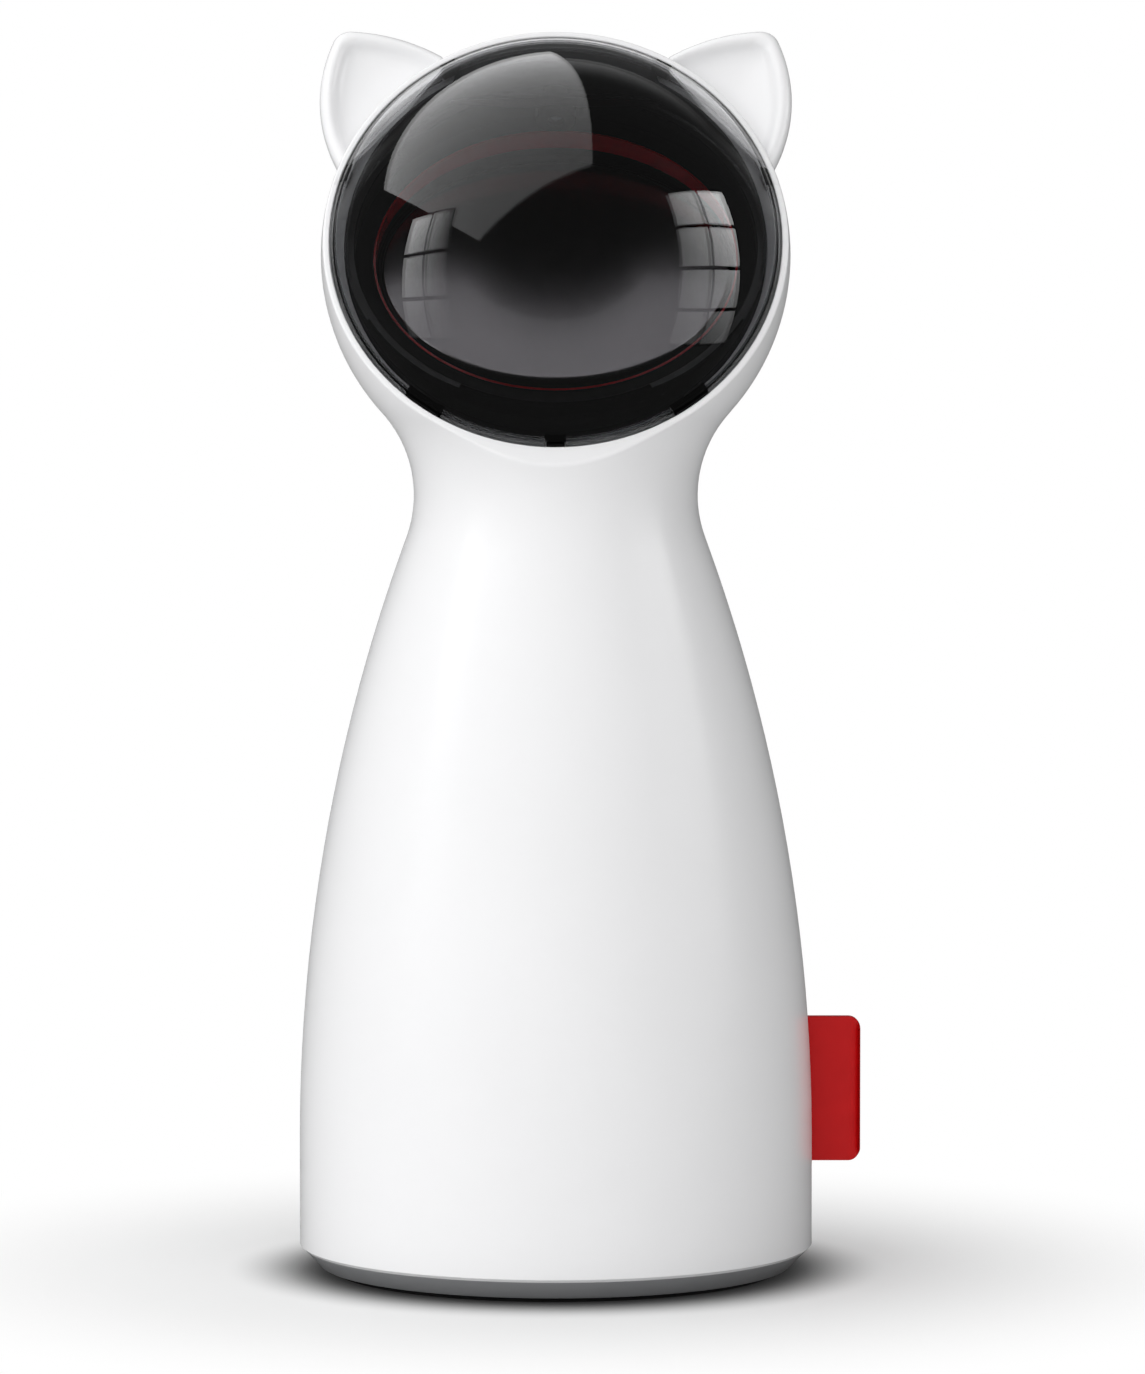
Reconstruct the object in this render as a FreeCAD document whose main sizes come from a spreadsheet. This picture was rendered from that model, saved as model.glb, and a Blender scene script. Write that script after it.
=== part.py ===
"""Automatic cat laser toy: a skittle-shaped body with a cat's head, whose smoked dome covers a turning mirror.

All lengths are in millimetres and all angles in degrees. +Z is up and the toy faces -Y.
The origin is the centre of the round foot, on the surface that the toy stands on.
"""
import FreeCAD, Part
import math
import os
import re
import Sketcher
from FreeCAD import Placement, Rotation, Vector

# name, value, what it is
SIZES = [
    # body
    ("body_r", 43.0, "radius of the straight lower body"),
    ("straight_top", 22.0, "height where the body starts to curve in"),
    ("body_curve", 294.0, "radius of the long curve of the body's side"),
    ("neck_r", 23.7, "radius of the neck at its narrowest"),
    ("head_r", 39.15, "radius of the head's sphere"),
    ("head_z", 170.6, "height of the head's centre"),
    ("wall", 2.0, "wall of the two shells"),
    ("shell_bottom", 4.0, "height of the shells' lower edge"),
    ("edge_chamfer", 0.5, "chamfer of the shells' lower edge"),
    # the face's opening
    ("rim_tilt", 29.0, "angle of the dome's axis above the level"),
    ("rim_offset", 5.7, "rim plane in front of the head's centre"),
    ("rim_round", 0.45, "rounding of the rim's outer edge"),
    ("rim_width", 1.03, "width of the rim outside the rebate that takes the dome"),
    ("rebate_depth", 3.0, "depth of the rebate behind the rim plane"),
    # ears
    ("ear_front", 2.2, "ear's front face behind the rim plane"),
    ("ear_depth", 9.5, "ear from front to back at its thickest"),
    ("ear_rim", 2.6, "width of the rim round the ear's hollow"),
    ("ear_hollow", 2.6, "depth of the ear's hollow"),
    ("ear_lip_round", 0.9, "rounding of the ear's front edge"),
    ("ear_back_r", 17.5, "radius of the ear's domed back"),
    ("ear_middle_x", 27.5, "middle of the domed back"),
    ("ear_middle_y", 26.5, "middle of the domed back, up the face"),
    ("ear_foot_x", 34.6, "outer foot of the ear"),
    ("ear_foot_y", 12.0, "outer foot of the ear, up the face"),
    ("ear_side_r", 26.0, "curve of the ear's outer side"),
    ("ear_side_x", 37.0, "upper end of the outer side"),
    ("ear_side_y", 36.9, "upper end of the outer side, up the face"),
    ("ear_tip_r", 2.6, "rounding of the ear's tip"),
    ("ear_tip_x", 34.4, "inner end of the tip's rounding"),
    ("ear_tip_y", 40.4, "inner end of the tip's rounding, up the face"),
    ("ear_top_r", 32.0, "curve of the ear's upper side"),
    ("ear_top_x", 19.0, "inner foot of the ear"),
    ("ear_top_y", 35.6, "inner foot of the ear, up the face"),
    # dome
    ("dome_rise", 22.26, "height of the dome above the rim plane"),
    ("dome_wall", 1.5, "wall of the dome"),
    ("dome_gap", 0.15, "clearance of the dome in the rebate"),
    ("lug_wide", 6.6, "width of a wide lug"),
    ("lug_narrow", 3.0, "width of a narrow lug"),
    ("lug_above", 0.5, "lug above the rim plane"),
    ("lug_gap", 0.2, "clearance round a lug"),
    # bowl
    ("lip_tilt", 43.0, "angle of the bowl lip's axis above the level"),
    ("lip_offset", 2.7, "lip plane in front of the head's centre"),
    ("bezel_width", 2.9, "width of the bezel from the dome to the bowl's lip"),
    ("lip_wall", 0.7, "wall at the bowl's lip"),
    ("bowl_wall", 1.4, "wall of the bowl"),
    ("bezel_gap", 0.15, "clearance between bezel and dome"),
    ("bezel_seat", 2.2, "bezel's back edge behind the rim plane"),
    ("bezel_edge", 1.3, "wall of the bezel"),
    ("bezel_flange", 1.0, "thickness of the bezel's flange"),
    ("bowl_clear", 0.4, "least space between the bowl and the dome"),
    ("floor_depth", 8.3, "bowl's floor behind the head's centre"),
    ("floor_wall", 1.5, "thickness of the bowl's floor"),
    ("boss_r", 2.5, "radius of the bosses for the bracket"),
    ("boss_ring", 14.2, "bosses' distance from the mirror's axis"),
    # red ring
    ("ring_inset", 1.0, "top of the ring's slope inside the bowl's lip"),
    ("ring_width", 2.2, "width of the ring's slope"),
    ("ring_top", 1.1, "ring's upper edge behind the head's centre"),
    ("ring_slope", 1.6, "height of the ring's slope"),
    ("ring_height", 3.2, "height of the ring"),
    # mirror
    ("spin_tilt", 51.0, "angle of the mirror's axis above the level"),
    ("mirror_tilt", 4.0, "angle of the mirror from square to its axis"),
    ("mirror_gap", 0.5, "clearance of the carrier in the ring"),
    ("mirror_thick", 1.0, "thickness of the mirror"),
    ("mirror_back", 3.1, "mirror's face behind the head's centre"),
    ("carrier_lip", 0.5, "rim of the carrier round the mirror"),
    ("carrier_thick", 1.5, "thickness of the carrier under the mirror"),
    ("hub_r", 6.0, "radius of the carrier's hub"),
    ("run_gap", 0.3, "axial clearance of the turning parts"),
    # shaft and gears
    ("shaft_r", 1.5, "radius of the mirror's shaft"),
    ("shaft_gap", 0.05, "running clearance of a shaft"),
    ("bush_r", 3.0, "outer radius of the bush"),
    ("bush_boss_r", 4.6, "radius of the boss round the bush"),
    ("bush_length", 5.7, "length of the bush"),
    ("gear_module", 0.5, "module of the gears"),
    ("gear_thick", 3.0, "thickness of the gears"),
    ("gear_play", 0.12, "backlash of the gears"),
    # motor and its bracket
    ("bracket_r", 17.2, "radius of the bracket's plate"),
    ("bracket_thick", 1.5, "thickness of the bracket's plate"),
    ("bracket_gap", 0.7, "space between the gears and the bracket"),
    ("motor_r", 6.0, "radius of the motor"),
    ("motor_length", 17.0, "length of the motor's can"),
    ("motor_nose_r", 3.0, "radius of the motor's nose"),
    ("motor_shaft_r", 1.0, "radius of the motor's shaft"),
    ("motor_flange", 2.6, "bracket's edge round the motor"),
    ("endcap_length", 1.6, "length of the motor's end cap"),
    ("terminal_wide", 1.5, "width of the motor's terminals"),
    ("terminal_x", 3.0, "terminals from the motor's axis"),
    ("shaft_in_motor", 5.0, "depth of the shaft inside the motor"),
    # laser
    ("laser_tilt", 77.0, "angle of the laser's axis from the mirror's axis"),
    ("laser_r", 2.5, "radius of the laser's barrel"),
    ("laser_start", 30.4, "laser's front from the mirror's centre"),
    ("laser_length", 9.0, "length of the laser's barrel"),
    ("holder_wall", 0.9, "wall of the laser's holder"),
    ("holder_lead", 0.6, "holder's front behind the barrel's front"),
    ("lens_r", 1.3, "radius of the laser's lens"),
    ("lens_depth", 0.6, "lens in the barrel"),
    # side tag
    ("tag_low", 18.4, "lower edge of the tag"),
    ("tag_high", 42.7, "upper edge of the tag"),
    ("tag_out", 8.1, "tag's outer edge beyond the body"),
    ("tag_thick", 2.0, "thickness of the tag"),
    ("tag_round", 2.0, "rounding of the tag's corners"),
    ("tag_anchor", 1.6, "thickness of the anchor inside the wall"),
    ("tag_anchor_wide", 4.4, "width of the anchor inside the wall"),
    # base
    ("foot_taper", 3.5, "base's lower edge inside the body's radius"),
    ("base_bottom", 0.9, "height of the base's underside"),
    ("base_floor", 2.3, "thickness of the base's floor"),
    ("spigot_high", 4.2, "base's spigot inside the shells"),
    ("spigot_wall", 1.6, "wall of the spigot"),
    ("spigot_gap", 0.1, "clearance of the spigot"),
    ("tread_inset", 3.4, "rubber ring's inner edge inside the ring of base screws"),
    ("tread_edge", 1.9, "rubber ring's outer edge inside the base's lower edge"),
    ("tread_sunk", 0.8, "rubber ring's depth in the base"),
    # battery door
    ("door_r", 26.0, "radius of the battery door"),
    ("door_gap", 0.3, "clearance round the battery door"),
    ("door_recess", 0.3, "door's face above the base's underside"),
    ("door_thick", 2.0, "thickness of the door's plate"),
    ("door_skirt_in", 2.0, "ring inside the door, in from the door's edge"),
    ("door_skirt_wall", 2.0, "wall of the ring inside the door"),
    ("tab_long", 2.2, "door's tabs beyond its edge"),
    ("tab_wide", 8.0, "width of a tab"),
    ("tab_thick", 1.5, "thickness of a tab"),
    ("door_turn", 35.0, "angle from locked to open"),
    ("door_plateau_r", 17.0, "radius of the step that carries the contacts"),
    ("door_plateau", 2.4, "height of that step"),
    ("grip_long", 24.0, "length of the finger grip"),
    ("grip_wide", 9.0, "width of the finger hollows"),
    ("grip_deep", 1.1, "depth of the finger hollows"),
    ("grip_y", 6.3, "finger hollows from the middle"),
    # batteries
    ("cell_r", 7.2, "radius of a battery cell"),
    ("cell_length", 49.2, "length of a cell without its cap"),
    ("cell_cap_r", 2.7, "radius of the cell's cap"),
    ("cell_cap", 1.2, "height of the cell's cap"),
    ("cell_pitch", 15.6, "distance between the cells' middles"),
    ("cell_bottom", 8.3, "height of the cells' lower ends"),
    ("cell_gap", 0.3, "clearance round a cell"),
    ("holder_r", 19.0, "radius of the battery holder"),
    ("holder_floor", 8.4, "height of the holder's flange"),
    ("holder_foot", 1.6, "wall of the holder's foot, outside the door's tabs"),
    ("holder_flange", 1.5, "thickness of the holder's flange"),
    ("holder_cap", 2.0, "thickness of the holder's closed top"),
    ("contact_thick", 0.4, "thickness of the contact plates"),
    ("contact_r", 4.5, "radius of a contact's dome"),
    ("contact_top_r", 1.5, "radius of the dome's top"),
    # electronics
    ("board_inset", 12.26, "board's inner face inside the body's side"),
    ("board_thick", 1.6, "thickness of the board"),
    ("board_wide", 26.0, "width of the board"),
    ("board_low", 19.0, "board's lower edge"),
    ("board_high", 62.0, "board's upper edge"),
    ("post_r", 2.4, "radius of the board's posts"),
    ("post_inset", 3.4, "posts in from the board's edges"),
    ("switch_wide", 6.0, "width of the switch"),
    ("switch_thick", 2.4, "thickness of the switch"),
    ("plunger_r", 1.75, "radius of the switch's plunger"),
    ("plunger_high", 1.0, "height of the switch's plunger"),
    ("chip_thick", 1.6, "thickness of the chip"),
    ("chip_wide", 9.0, "width of the chip"),
    ("tall_part", 3.2, "height of the capacitor and the wire plug"),
    ("capacitor_r", 3.0, "radius of the capacitor"),
    ("part_inset", 9.0, "capacitor and wire plug in from the board's ends"),
    # button
    ("button_z", 50.0, "height of the button's axis"),
    ("button_r", 6.0, "radius of the button"),
    ("button_travel", 0.8, "travel of the button"),
    ("button_stop", 0.1, "button's end above the pressed plunger"),
    ("button_flange_r", 7.2, "radius of the button's flange"),
    ("button_flange", 1.2, "thickness of the button's flange"),
    ("button_proud", 0.6, "button's face beyond its ring"),
    ("button_gap", 0.1, "clearance of the button in its ring"),
    ("dish_r", 36.0, "radius of the hollow in the button's face"),
    ("glow_r", 8.0, "radius of the light ring"),
    ("glow_flange_r", 9.2, "radius of the light ring's flange"),
    ("glow_flange", 1.2, "thickness of the light ring's flange"),
    ("glow_proud", 0.5, "light ring beyond the body's side"),
    # charging socket
    ("socket_z", 28.0, "height of the socket's axis"),
    ("socket_wide", 7.6, "width of the socket"),
    ("socket_high", 2.9, "height of the socket"),
    ("socket_wall", 0.3, "wall of the socket"),
    ("socket_short", 1.4, "socket's mouth inside the body's side"),
    ("socket_deep", 5.0, "depth of the socket's mouth"),
    ("tongue_wide", 3.8, "width of the socket's tongue"),
    ("tongue_thick", 0.6, "thickness of the socket's tongue"),
    ("tongue_short", 0.5, "tongue's end inside the socket's mouth"),
    ("slot_gap", 0.4, "space round the socket in the shell"),
    # fasteners
    ("tower_r", 3.4, "radius of the shells' screw towers"),
    ("tower_low_x", 32.0, "lower towers from the middle"),
    ("tower_low_z", 52.0, "height of the lower towers"),
    ("tower_high_x", 19.5, "upper towers from the middle"),
    ("tower_high_z", 102.0, "height of the upper towers"),
    ("screw_r", 1.15, "radius of the shell screws"),
    ("screw_head_r", 2.4, "radius of the shell screws' heads"),
    ("screw_head", 1.8, "height of the shell screws' heads"),
    ("screw_seat", 8.0, "screw seats behind the seam"),
    ("screw_grip", 9.0, "screw's length in the front shell"),
    ("hole_gap", 0.05, "clearance of a screw in its hole"),
    ("head_gap", 0.35, "clearance of a screw's head"),
    ("small_screw_r", 0.9, "radius of the small screws"),
    ("small_head_r", 1.8, "radius of the small screws' heads"),
    ("small_head", 1.1, "height of the small screws' heads"),
    ("small_grip", 5.0, "length of a small screw in its boss"),
    ("base_boss_gap", 0.6, "bosses' distance from the holder's flange"),
    ("base_boss_r", 3.0, "radius of the base screws' bosses"),
    ("base_boss_high", 8.0, "height of the base screws' bosses"),
    ("base_rib", 1.6, "thickness of the ribs on those bosses"),
]
NAMES = {name for name, value, meaning in SIZES}

# plain numbers
GEAR_TEETH = 42
PINION_TEETH = 14
PRESSURE_ANGLE = 20
ROOT_DEPTH = 1.25  # gear tooth below the pitch circle, in modules
TIP_HEIGHT = 0.9  # gear tooth above the pitch circle, in modules
HEAD_TAPER = 0.7  # top radius of a screw's head over its seat's
EAR_ROOT = 0.8  # where an ear's outline starts inside the head, over its foot's distance

# angles round the rim, counter-clockwise from the toy's left, and whether each lug is a wide one
LUGS = [(18, False), (61, False), (119, False), (161, False), (234, True), (270, False), (307, True)]
BRACKET_BOSSES = (15, 90, 165)
DOOR_TABS = (30, 150, 270)
BASE_SCREWS = (45, 135, 225, 315)
CELLS = (90, 210, 330)

doc = FreeCAD.newDocument("cat_laser_toy")
sheet = doc.addObject("Spreadsheet::Sheet", "dim")
parts = {}


def fill_sheet():
    """Write each size to a cell, with its name as the alias."""
    for row, (name, value, meaning) in enumerate(SIZES, start=1):
        sheet.set(f"A{row}", meaning)
        sheet.set(f"B{row}", str(value))
        sheet.setAlias(f"B{row}", name)
    doc.recompute()


def add_size(name, value, meaning):
    """Add a size that is worked out from the others."""
    row = len(NAMES) + 1
    sheet.set(f"A{row}", meaning)
    sheet.set(f"B{row}", repr(value))
    sheet.setAlias(f"B{row}", name)
    NAMES.add(name)
    doc.recompute()


def tied(expression):
    """Turn the plain size names of an expression into references to the sheet."""
    return re.sub(r"[a-z]\w*", lambda word: ("dim." if word[0] in NAMES else "") + word[0], expression)


def at(expression):
    """The value of an expression of sizes."""
    return float(sheet.evalExpression(tied(expression)))


def bind(made, **sizes):
    """Tie an object's properties to the sheet."""
    for name, expression in sizes.items():
        made.setExpression(name, tied(expression))


# ---- places -------------------------------------------------------------------------------------

def upright(x="0", y="0", z="0", turn=0.0):
    """A place in the toy's own frame, turned about Z."""
    return Placement(Vector(at(x), at(y), at(z)), Rotation(Vector(0, 0, 1), turn))


def to_back(x="0", y="0", z="0"):
    """A place whose own Z points to the toy's back."""
    return Placement(Vector(at(x), at(y), at(z)), Rotation(Vector(1, 0, 0), -90))


def tilted(tilt, x="0", y="0", z="0", turn=0.0):
    """A place about the head's centre: own Z leans back from -Y by the tilt, and own X stays level."""
    face = Placement(Vector(0, 0, at("head_z")), Rotation(Vector(1, 0, 0), 90 - at(tilt)))
    return face * Placement(Vector(), Rotation(Vector(0, 0, 1), turn)) * Placement(
        Vector(at(x), at(y), at(z)), Rotation())


# ---- basic solids -------------------------------------------------------------------------------

def cylinder(name, radius, height, place):
    made = doc.addObject("Part::Cylinder", name)
    bind(made, Radius=radius, Height=height)
    made.Placement = place
    return made


def block(name, length, width, height, place):
    """A block that stands on its own XY plane, centred on its own Z."""
    made = doc.addObject("Part::Box", name)
    bind(made, Length=length, Width=width, Height=height)
    made.Placement = place * Placement(Vector(-at(length) / 2, -at(width) / 2, 0), Rotation())
    return made


def sphere(name, radius, place):
    made = doc.addObject("Part::Sphere", name)
    bind(made, Radius=radius)
    made.Placement = place
    return made


def cone(name, low_r, high_r, height, place):
    made = doc.addObject("Part::Cone", name)
    bind(made, Radius1=low_r, Radius2=high_r, Height=height)
    made.Placement = place
    return made


def fuse(name, *shapes):
    if len(shapes) == 1:
        return shapes[0]
    made = doc.addObject("Part::MultiFuse", name)
    made.Shapes = list(shapes)
    made.Refine = True
    return made


def common(name, *shapes):
    made = doc.addObject("Part::MultiCommon", name)
    made.Shapes = list(shapes)
    return made


def cut(name, base, *tools):
    made = doc.addObject("Part::Cut", name)
    made.Base = base
    made.Tool = fuse(name + "_tools", *tools)
    made.Refine = True
    return made


def group(name, *shapes):
    """Separate solids of one kind in one sub-part."""
    made = doc.addObject("Part::Compound", name)
    made.Links = list(shapes)
    return made


def tube(name, outer, inner, height, place):
    return cut(name, cylinder(name + "_outer", outer, height, place),
               cylinder(name + "_inner", inner, height, place))


def keep(label, made):
    """Name a finished sub-part."""
    made.Label = label
    parts[label] = made
    return made


# ---- sketches -----------------------------------------------------------------------------------

def arc_centre(start, end, radius, side):
    """Centre of the shorter arc between two points; side is 1 for a left turn and -1 for a right turn."""
    chord = end - start
    across = Vector(-chord.y, chord.x, 0).normalize()
    return (start + end) * 0.5 + across * side * math.sqrt(max(radius ** 2 - chord.Length ** 2 / 4, 0))


def outline(sketch, steps):
    """Draw a closed outline: each step is a corner (x, y), or (x, y, radius, side) for an arc to it.

    The last corner closes to the first with a straight line.
    """
    corners = [Vector(at(step[0]), at(step[1]), 0) for step in steps]
    ends = []
    for index, corner in enumerate(corners):
        target = steps[(index + 1) % len(steps)]
        goal = corners[(index + 1) % len(steps)]
        if len(target) == 2 or index + 1 == len(steps):
            edge = sketch.addGeometry(Part.LineSegment(corner, goal), False)
            ends.append((edge, 1, 2))
            continue
        radius, side = at(target[2]), target[3]
        centre = arc_centre(corner, goal, radius, side)
        first, last = (corner, goal) if side > 0 else (goal, corner)
        angles = [math.atan2(point.y - centre.y, point.x - centre.x) for point in (first, last)]
        if angles[1] < angles[0]:
            angles[1] += 2 * math.pi
        circle = Part.Circle(centre, Vector(0, 0, 1), (first - centre).Length)
        edge = sketch.addGeometry(Part.ArcOfCircle(circle, *angles), False)
        ends.append((edge, 1, 2) if side > 0 else (edge, 2, 1))
        hold(sketch, Sketcher.Constraint("Radius", edge, circle.Radius), target[2], f"arc_{index}")
    for index, (edge, start, end) in enumerate(ends):
        following, its_start = ends[(index + 1) % len(ends)][:2]
        sketch.addConstraint(Sketcher.Constraint("Coincident", edge, end, following, its_start))
        for axis, kind, value in ((-2, "DistanceX", corners[index].x), (-1, "DistanceY", corners[index].y)):
            text = steps[index][0 if kind == "DistanceX" else 1]
            if text == "0":
                sketch.addConstraint(Sketcher.Constraint("PointOnObject", edge, start, axis))
            else:
                hold(sketch, Sketcher.Constraint(kind, -1, 1, edge, start, value), text,
                     f"corner_{index}_{kind[-1].lower()}")


def hold(sketch, constraint, expression, name):
    """Add a constraint and tie its value to the sheet."""
    index = sketch.addConstraint(constraint)
    sketch.renameConstraint(index, name)
    sketch.setExpression(f"Constraints.{name}", tied(expression))


def origin_plane(body, role):
    return next(plane for plane in body.Origin.OriginFeatures if plane.Role == role)


def turned(name, steps, place):
    """A body made by turning a half section, drawn in X and Z, a full circle about Z."""
    body = doc.addObject("PartDesign::Body", name)
    sketch = body.newObject("Sketcher::SketchObject", name + "_section")
    sketch.AttachmentSupport = [(origin_plane(body, "XZ_Plane"), "")]
    sketch.MapMode = "FlatFace"
    outline(sketch, steps)
    turn = body.newObject("PartDesign::Revolution", name + "_turn")
    turn.Profile = sketch
    turn.ReferenceAxis = (sketch, ["V_Axis"])
    turn.Angle = 360
    body.Placement = place
    return body


def padded(name, steps, height, place):
    """A body made by padding an outline, drawn in X and Y, up along Z."""
    body = doc.addObject("PartDesign::Body", name)
    sketch = body.newObject("Sketcher::SketchObject", name + "_outline")
    sketch.AttachmentSupport = [(origin_plane(body, "XY_Plane"), "")]
    sketch.MapMode = "FlatFace"
    outline(sketch, steps)
    pad = body.newObject("PartDesign::Pad", name + "_pad")
    pad.Profile = sketch
    bind(pad, Length=height)
    body.Placement = place
    return body


# ---- the outer form -----------------------------------------------------------------------------

def neck_sizes():
    """Work out the neck's arc, which touches both the body's long curve and the head's sphere."""
    neck, head = at("neck_r"), at("head_r")
    body, curve = at("body_r"), at("body_curve")
    low, high = at("straight_top"), at("head_z")
    reach = neck + curve - body
    # the arc's radius is (height difference squared + constant) / span, seen from each neighbour
    span_head, const_head = 2 * (head - neck), neck ** 2 - head ** 2
    span_body, const_body = 2 * (body - neck), reach ** 2 - curve ** 2
    a = 1 / span_head - 1 / span_body
    b = -2 * high / span_head + 2 * low / span_body
    c = (high ** 2 + const_head) / span_head - (low ** 2 + const_body) / span_body
    neck_z = (-b - math.sqrt(b ** 2 - 4 * a * c)) / (2 * a)
    neck_curve = ((high - neck_z) ** 2 + const_head) / span_head
    add_size("neck_z", neck_z, "height of the neck at its narrowest")
    add_size("neck_curve", neck_curve, "radius of the neck's arc")


def form_steps(inset, bottom):
    """Half section of the toy's outer form, or of the hollow inside it at the given inset."""
    low_x = "(body_r - body_curve)"
    neck_x = "(neck_r + neck_curve)"
    low_share = f"(body_curve - {inset}) / (body_curve + neck_curve)"
    high_share = f"(head_r - {inset}) / (head_r + neck_curve)"
    return [
        ("0", bottom),
        (f"body_r - {inset}", bottom),
        (f"body_r - {inset}", "straight_top"),
        (f"{low_x} + ({neck_x} - {low_x}) * {low_share}",
         f"straight_top + (neck_z - straight_top) * {low_share}", f"body_curve - {inset}", 1),
        (f"{neck_x} * {high_share}", f"head_z + (neck_z - head_z) * {high_share}", f"neck_curve + {inset}", -1),
        ("0", f"head_z + head_r - {inset}", f"head_r - {inset}", 1),
    ]


def make_forms():
    """The outer form of the shells and the hollow inside them."""
    steps = form_steps("0", "shell_bottom")
    steps[1:2] = [("body_r - edge_chamfer", "shell_bottom"), ("body_r", "shell_bottom + edge_chamfer")]
    # the closing line of each turned surface stays clear of the seam, the button and the face
    away = upright(turn=55)
    outer = turned("outer_form", steps, away)
    inner = turned("inner_form", form_steps("wall", "shell_bottom - wall"), away)
    return outer, inner


def make_ear(side, hollow):
    """One ear: a prism with a domed back and a hollow front, cut back to the head's inner surface."""
    name = "left_ear" if side > 0 else "right_ear"
    sign = "" if side > 0 else "-"
    front = tilted("rim_tilt", z="rim_offset - ear_front")
    sketch = doc.addObject("Sketcher::SketchObject", name + "_outline")
    outline(sketch, [
        (f"{sign}ear_foot_x * {EAR_ROOT}", f"ear_foot_y * {EAR_ROOT}"),
        (f"{sign}ear_foot_x", "ear_foot_y"),
        (f"{sign}ear_side_x", "ear_side_y", "ear_side_r", side),
        (f"{sign}ear_tip_x", "ear_tip_y", "ear_tip_r", side),
        (f"{sign}ear_top_x", "ear_top_y", "ear_top_r", side),
        (f"{sign}ear_top_x * {EAR_ROOT}", f"ear_top_y * {EAR_ROOT}"),
    ])
    sketch.Placement = front
    ear = extruded(name + "_block", sketch, "2 * ear_depth")
    doc.recompute()
    rounded = doc.addObject("Part::Fillet", name + "_rounded")
    rounded.Base = ear
    radius = at("ear_lip_round")
    rounded.Edges = [(number, radius, radius) for number, edge in enumerate(ear.Shape.Edges, 1)
                     if level_in(edge, front, 0) and edge.Curve.TypeId == "Part::GeomCircle"]
    ring = doc.addObject("Part::Offset2D", name + "_ring")
    ring.Source = sketch
    bind(ring, Value="-ear_rim")
    dish = extruded(name + "_dish", ring, "ear_hollow")
    back = sphere(name + "_back", "ear_back_r", tilted(
        "rim_tilt", x=f"{sign}ear_middle_x", y="ear_middle_y",
        z="rim_offset - ear_front - ear_depth + ear_back_r"))
    return cut(name, common(name + "_domed", rounded, back), dish, hollow)


def extruded(name, sketch, depth):
    """A prism behind a sketch."""
    made = doc.addObject("Part::Extrusion", name)
    made.Base = sketch
    made.DirMode = "Normal"
    made.Solid = True
    made.Reversed = True
    bind(made, LengthFwd=depth)
    return made


def towers():
    """Middles of the screw towers that join the two shells."""
    for x, z in (("tower_low_x", "tower_low_z"), ("tower_high_x", "tower_high_z")):
        for sign in ("", "-"):
            yield sign + x, z


def make_shells(outer, inner):
    """The two white shells, parted at the seam plane y = 0."""
    shell = cut("shell", outer, inner)
    tower_rods = [cylinder("tower", "tower_r", "2 * body_r", to_back(x, "-body_r", z)) for x, z in towers()]
    posts = [cylinder("post", "post_r", "body_r", to_back(x, "board_y + board_thick", z))
             for x, z in board_posts()]
    ribs = []
    for angle in BASE_SCREWS:
        ribs.append(cylinder("base_boss", "base_boss_r", "base_boss_high",
                             upright(z="base_top", turn=angle) * Placement(
                                 Vector(at("base_screw_ring"), 0, 0), Rotation())))
        ribs.append(block("base_rib", "body_r - base_screw_ring - wall / 2", "base_rib", "base_boss_high",
                          upright(z="base_top", turn=angle) * Placement(
                              Vector(at("(body_r + base_screw_ring - wall / 2) / 2"), 0, 0), Rotation())))
    fittings = common("fittings", fuse("fitting_rods", *tower_rods, *posts, *ribs), outer)
    solid = fuse("shell_with_fittings", shell, fittings)
    face = block("face_space", "4 * head_r", "4 * head_r", "2 * head_r", tilted("rim_tilt", z="rim_offset"))
    rebate = cylinder("rebate", "rebate_r", "head_r", tilted("rim_tilt", z="rim_offset - rebate_depth"))
    opened = cut("shell_opened", solid, face, rebate)
    doc.recompute()
    rounded = doc.addObject("Part::Fillet", "shell_rounded")
    rounded.Base = opened
    radius = at("rim_round")
    rounded.Edges = [(number, radius, radius) for number, edge in enumerate(opened.Shape.Edges, 1)
                     if on_rim(edge)]
    holes = []
    for x, z in towers():
        holes.append(cylinder("screw_way", "screw_r + hole_gap", "screw_seat + screw_grip + wall",
                              to_back(x, "-screw_grip - wall", z)))
        holes.append(cylinder("head_way", "screw_head_r + head_gap", "body_r", to_back(x, "screw_seat", z)))
    for x, z in board_posts():
        holes.append(cylinder("post_hole", "small_screw_r + hole_gap", "small_grip",
                              to_back(x, "board_y + board_thick", z)))
    for angle in BASE_SCREWS:
        holes.append(cylinder("base_hole", "small_screw_r + hole_gap", "small_grip + wall",
                              upright(z="base_top", turn=angle) * Placement(
                                  Vector(at("base_screw_ring"), 0, 0), Rotation())))
    holes.append(cylinder("button_hole", "glow_r + hole_gap", "body_r",
                          to_back(y="holder_flange_r", z="button_z")))
    holes.append(block("socket_slot", "socket_wide + 2 * slot_gap", "socket_high + 2 * slot_gap", "body_r",
                       to_back(y="holder_flange_r", z="socket_z")))
    holes.append(block("tag_slot", "2 * wall", "tag_thick", "tag_high - tag_low",
                       upright(x="body_r - wall / 2", z="tag_low")))
    bored = cut("shell_bored", rounded, *holes)
    size = "4 * head_z"
    front_half = block("front_half", size, size, size, upright(y="-2 * head_z", z="-head_z"))
    rear_half = block("rear_half", size, size, size, upright(y="2 * head_z", z="-head_z"))
    keep("front_shell", common("front", bored, front_half))
    rear = common("rear", bored, rear_half)
    ears = [make_ear(side, inner) for side in (1, -1)]
    ear_space = block("ear_space", "4 * head_r", "4 * head_r", "2 * head_r", tilted("rim_tilt", z="rim_offset"))
    trimmed = [cut(f"trimmed_{index}", ear, rebate, ear_space) for index, ear in enumerate(ears)]
    keep("rear_shell", fuse("rear_with_ears", rear, *trimmed))


def level_in(edge, place, height):
    """Whether an edge lies level at a height above a place, along the place's own Z."""
    back = place.inverse()
    return all(abs(back.multVec(point).z - height) < 0.01 for point in edge.discretize(5))


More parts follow.
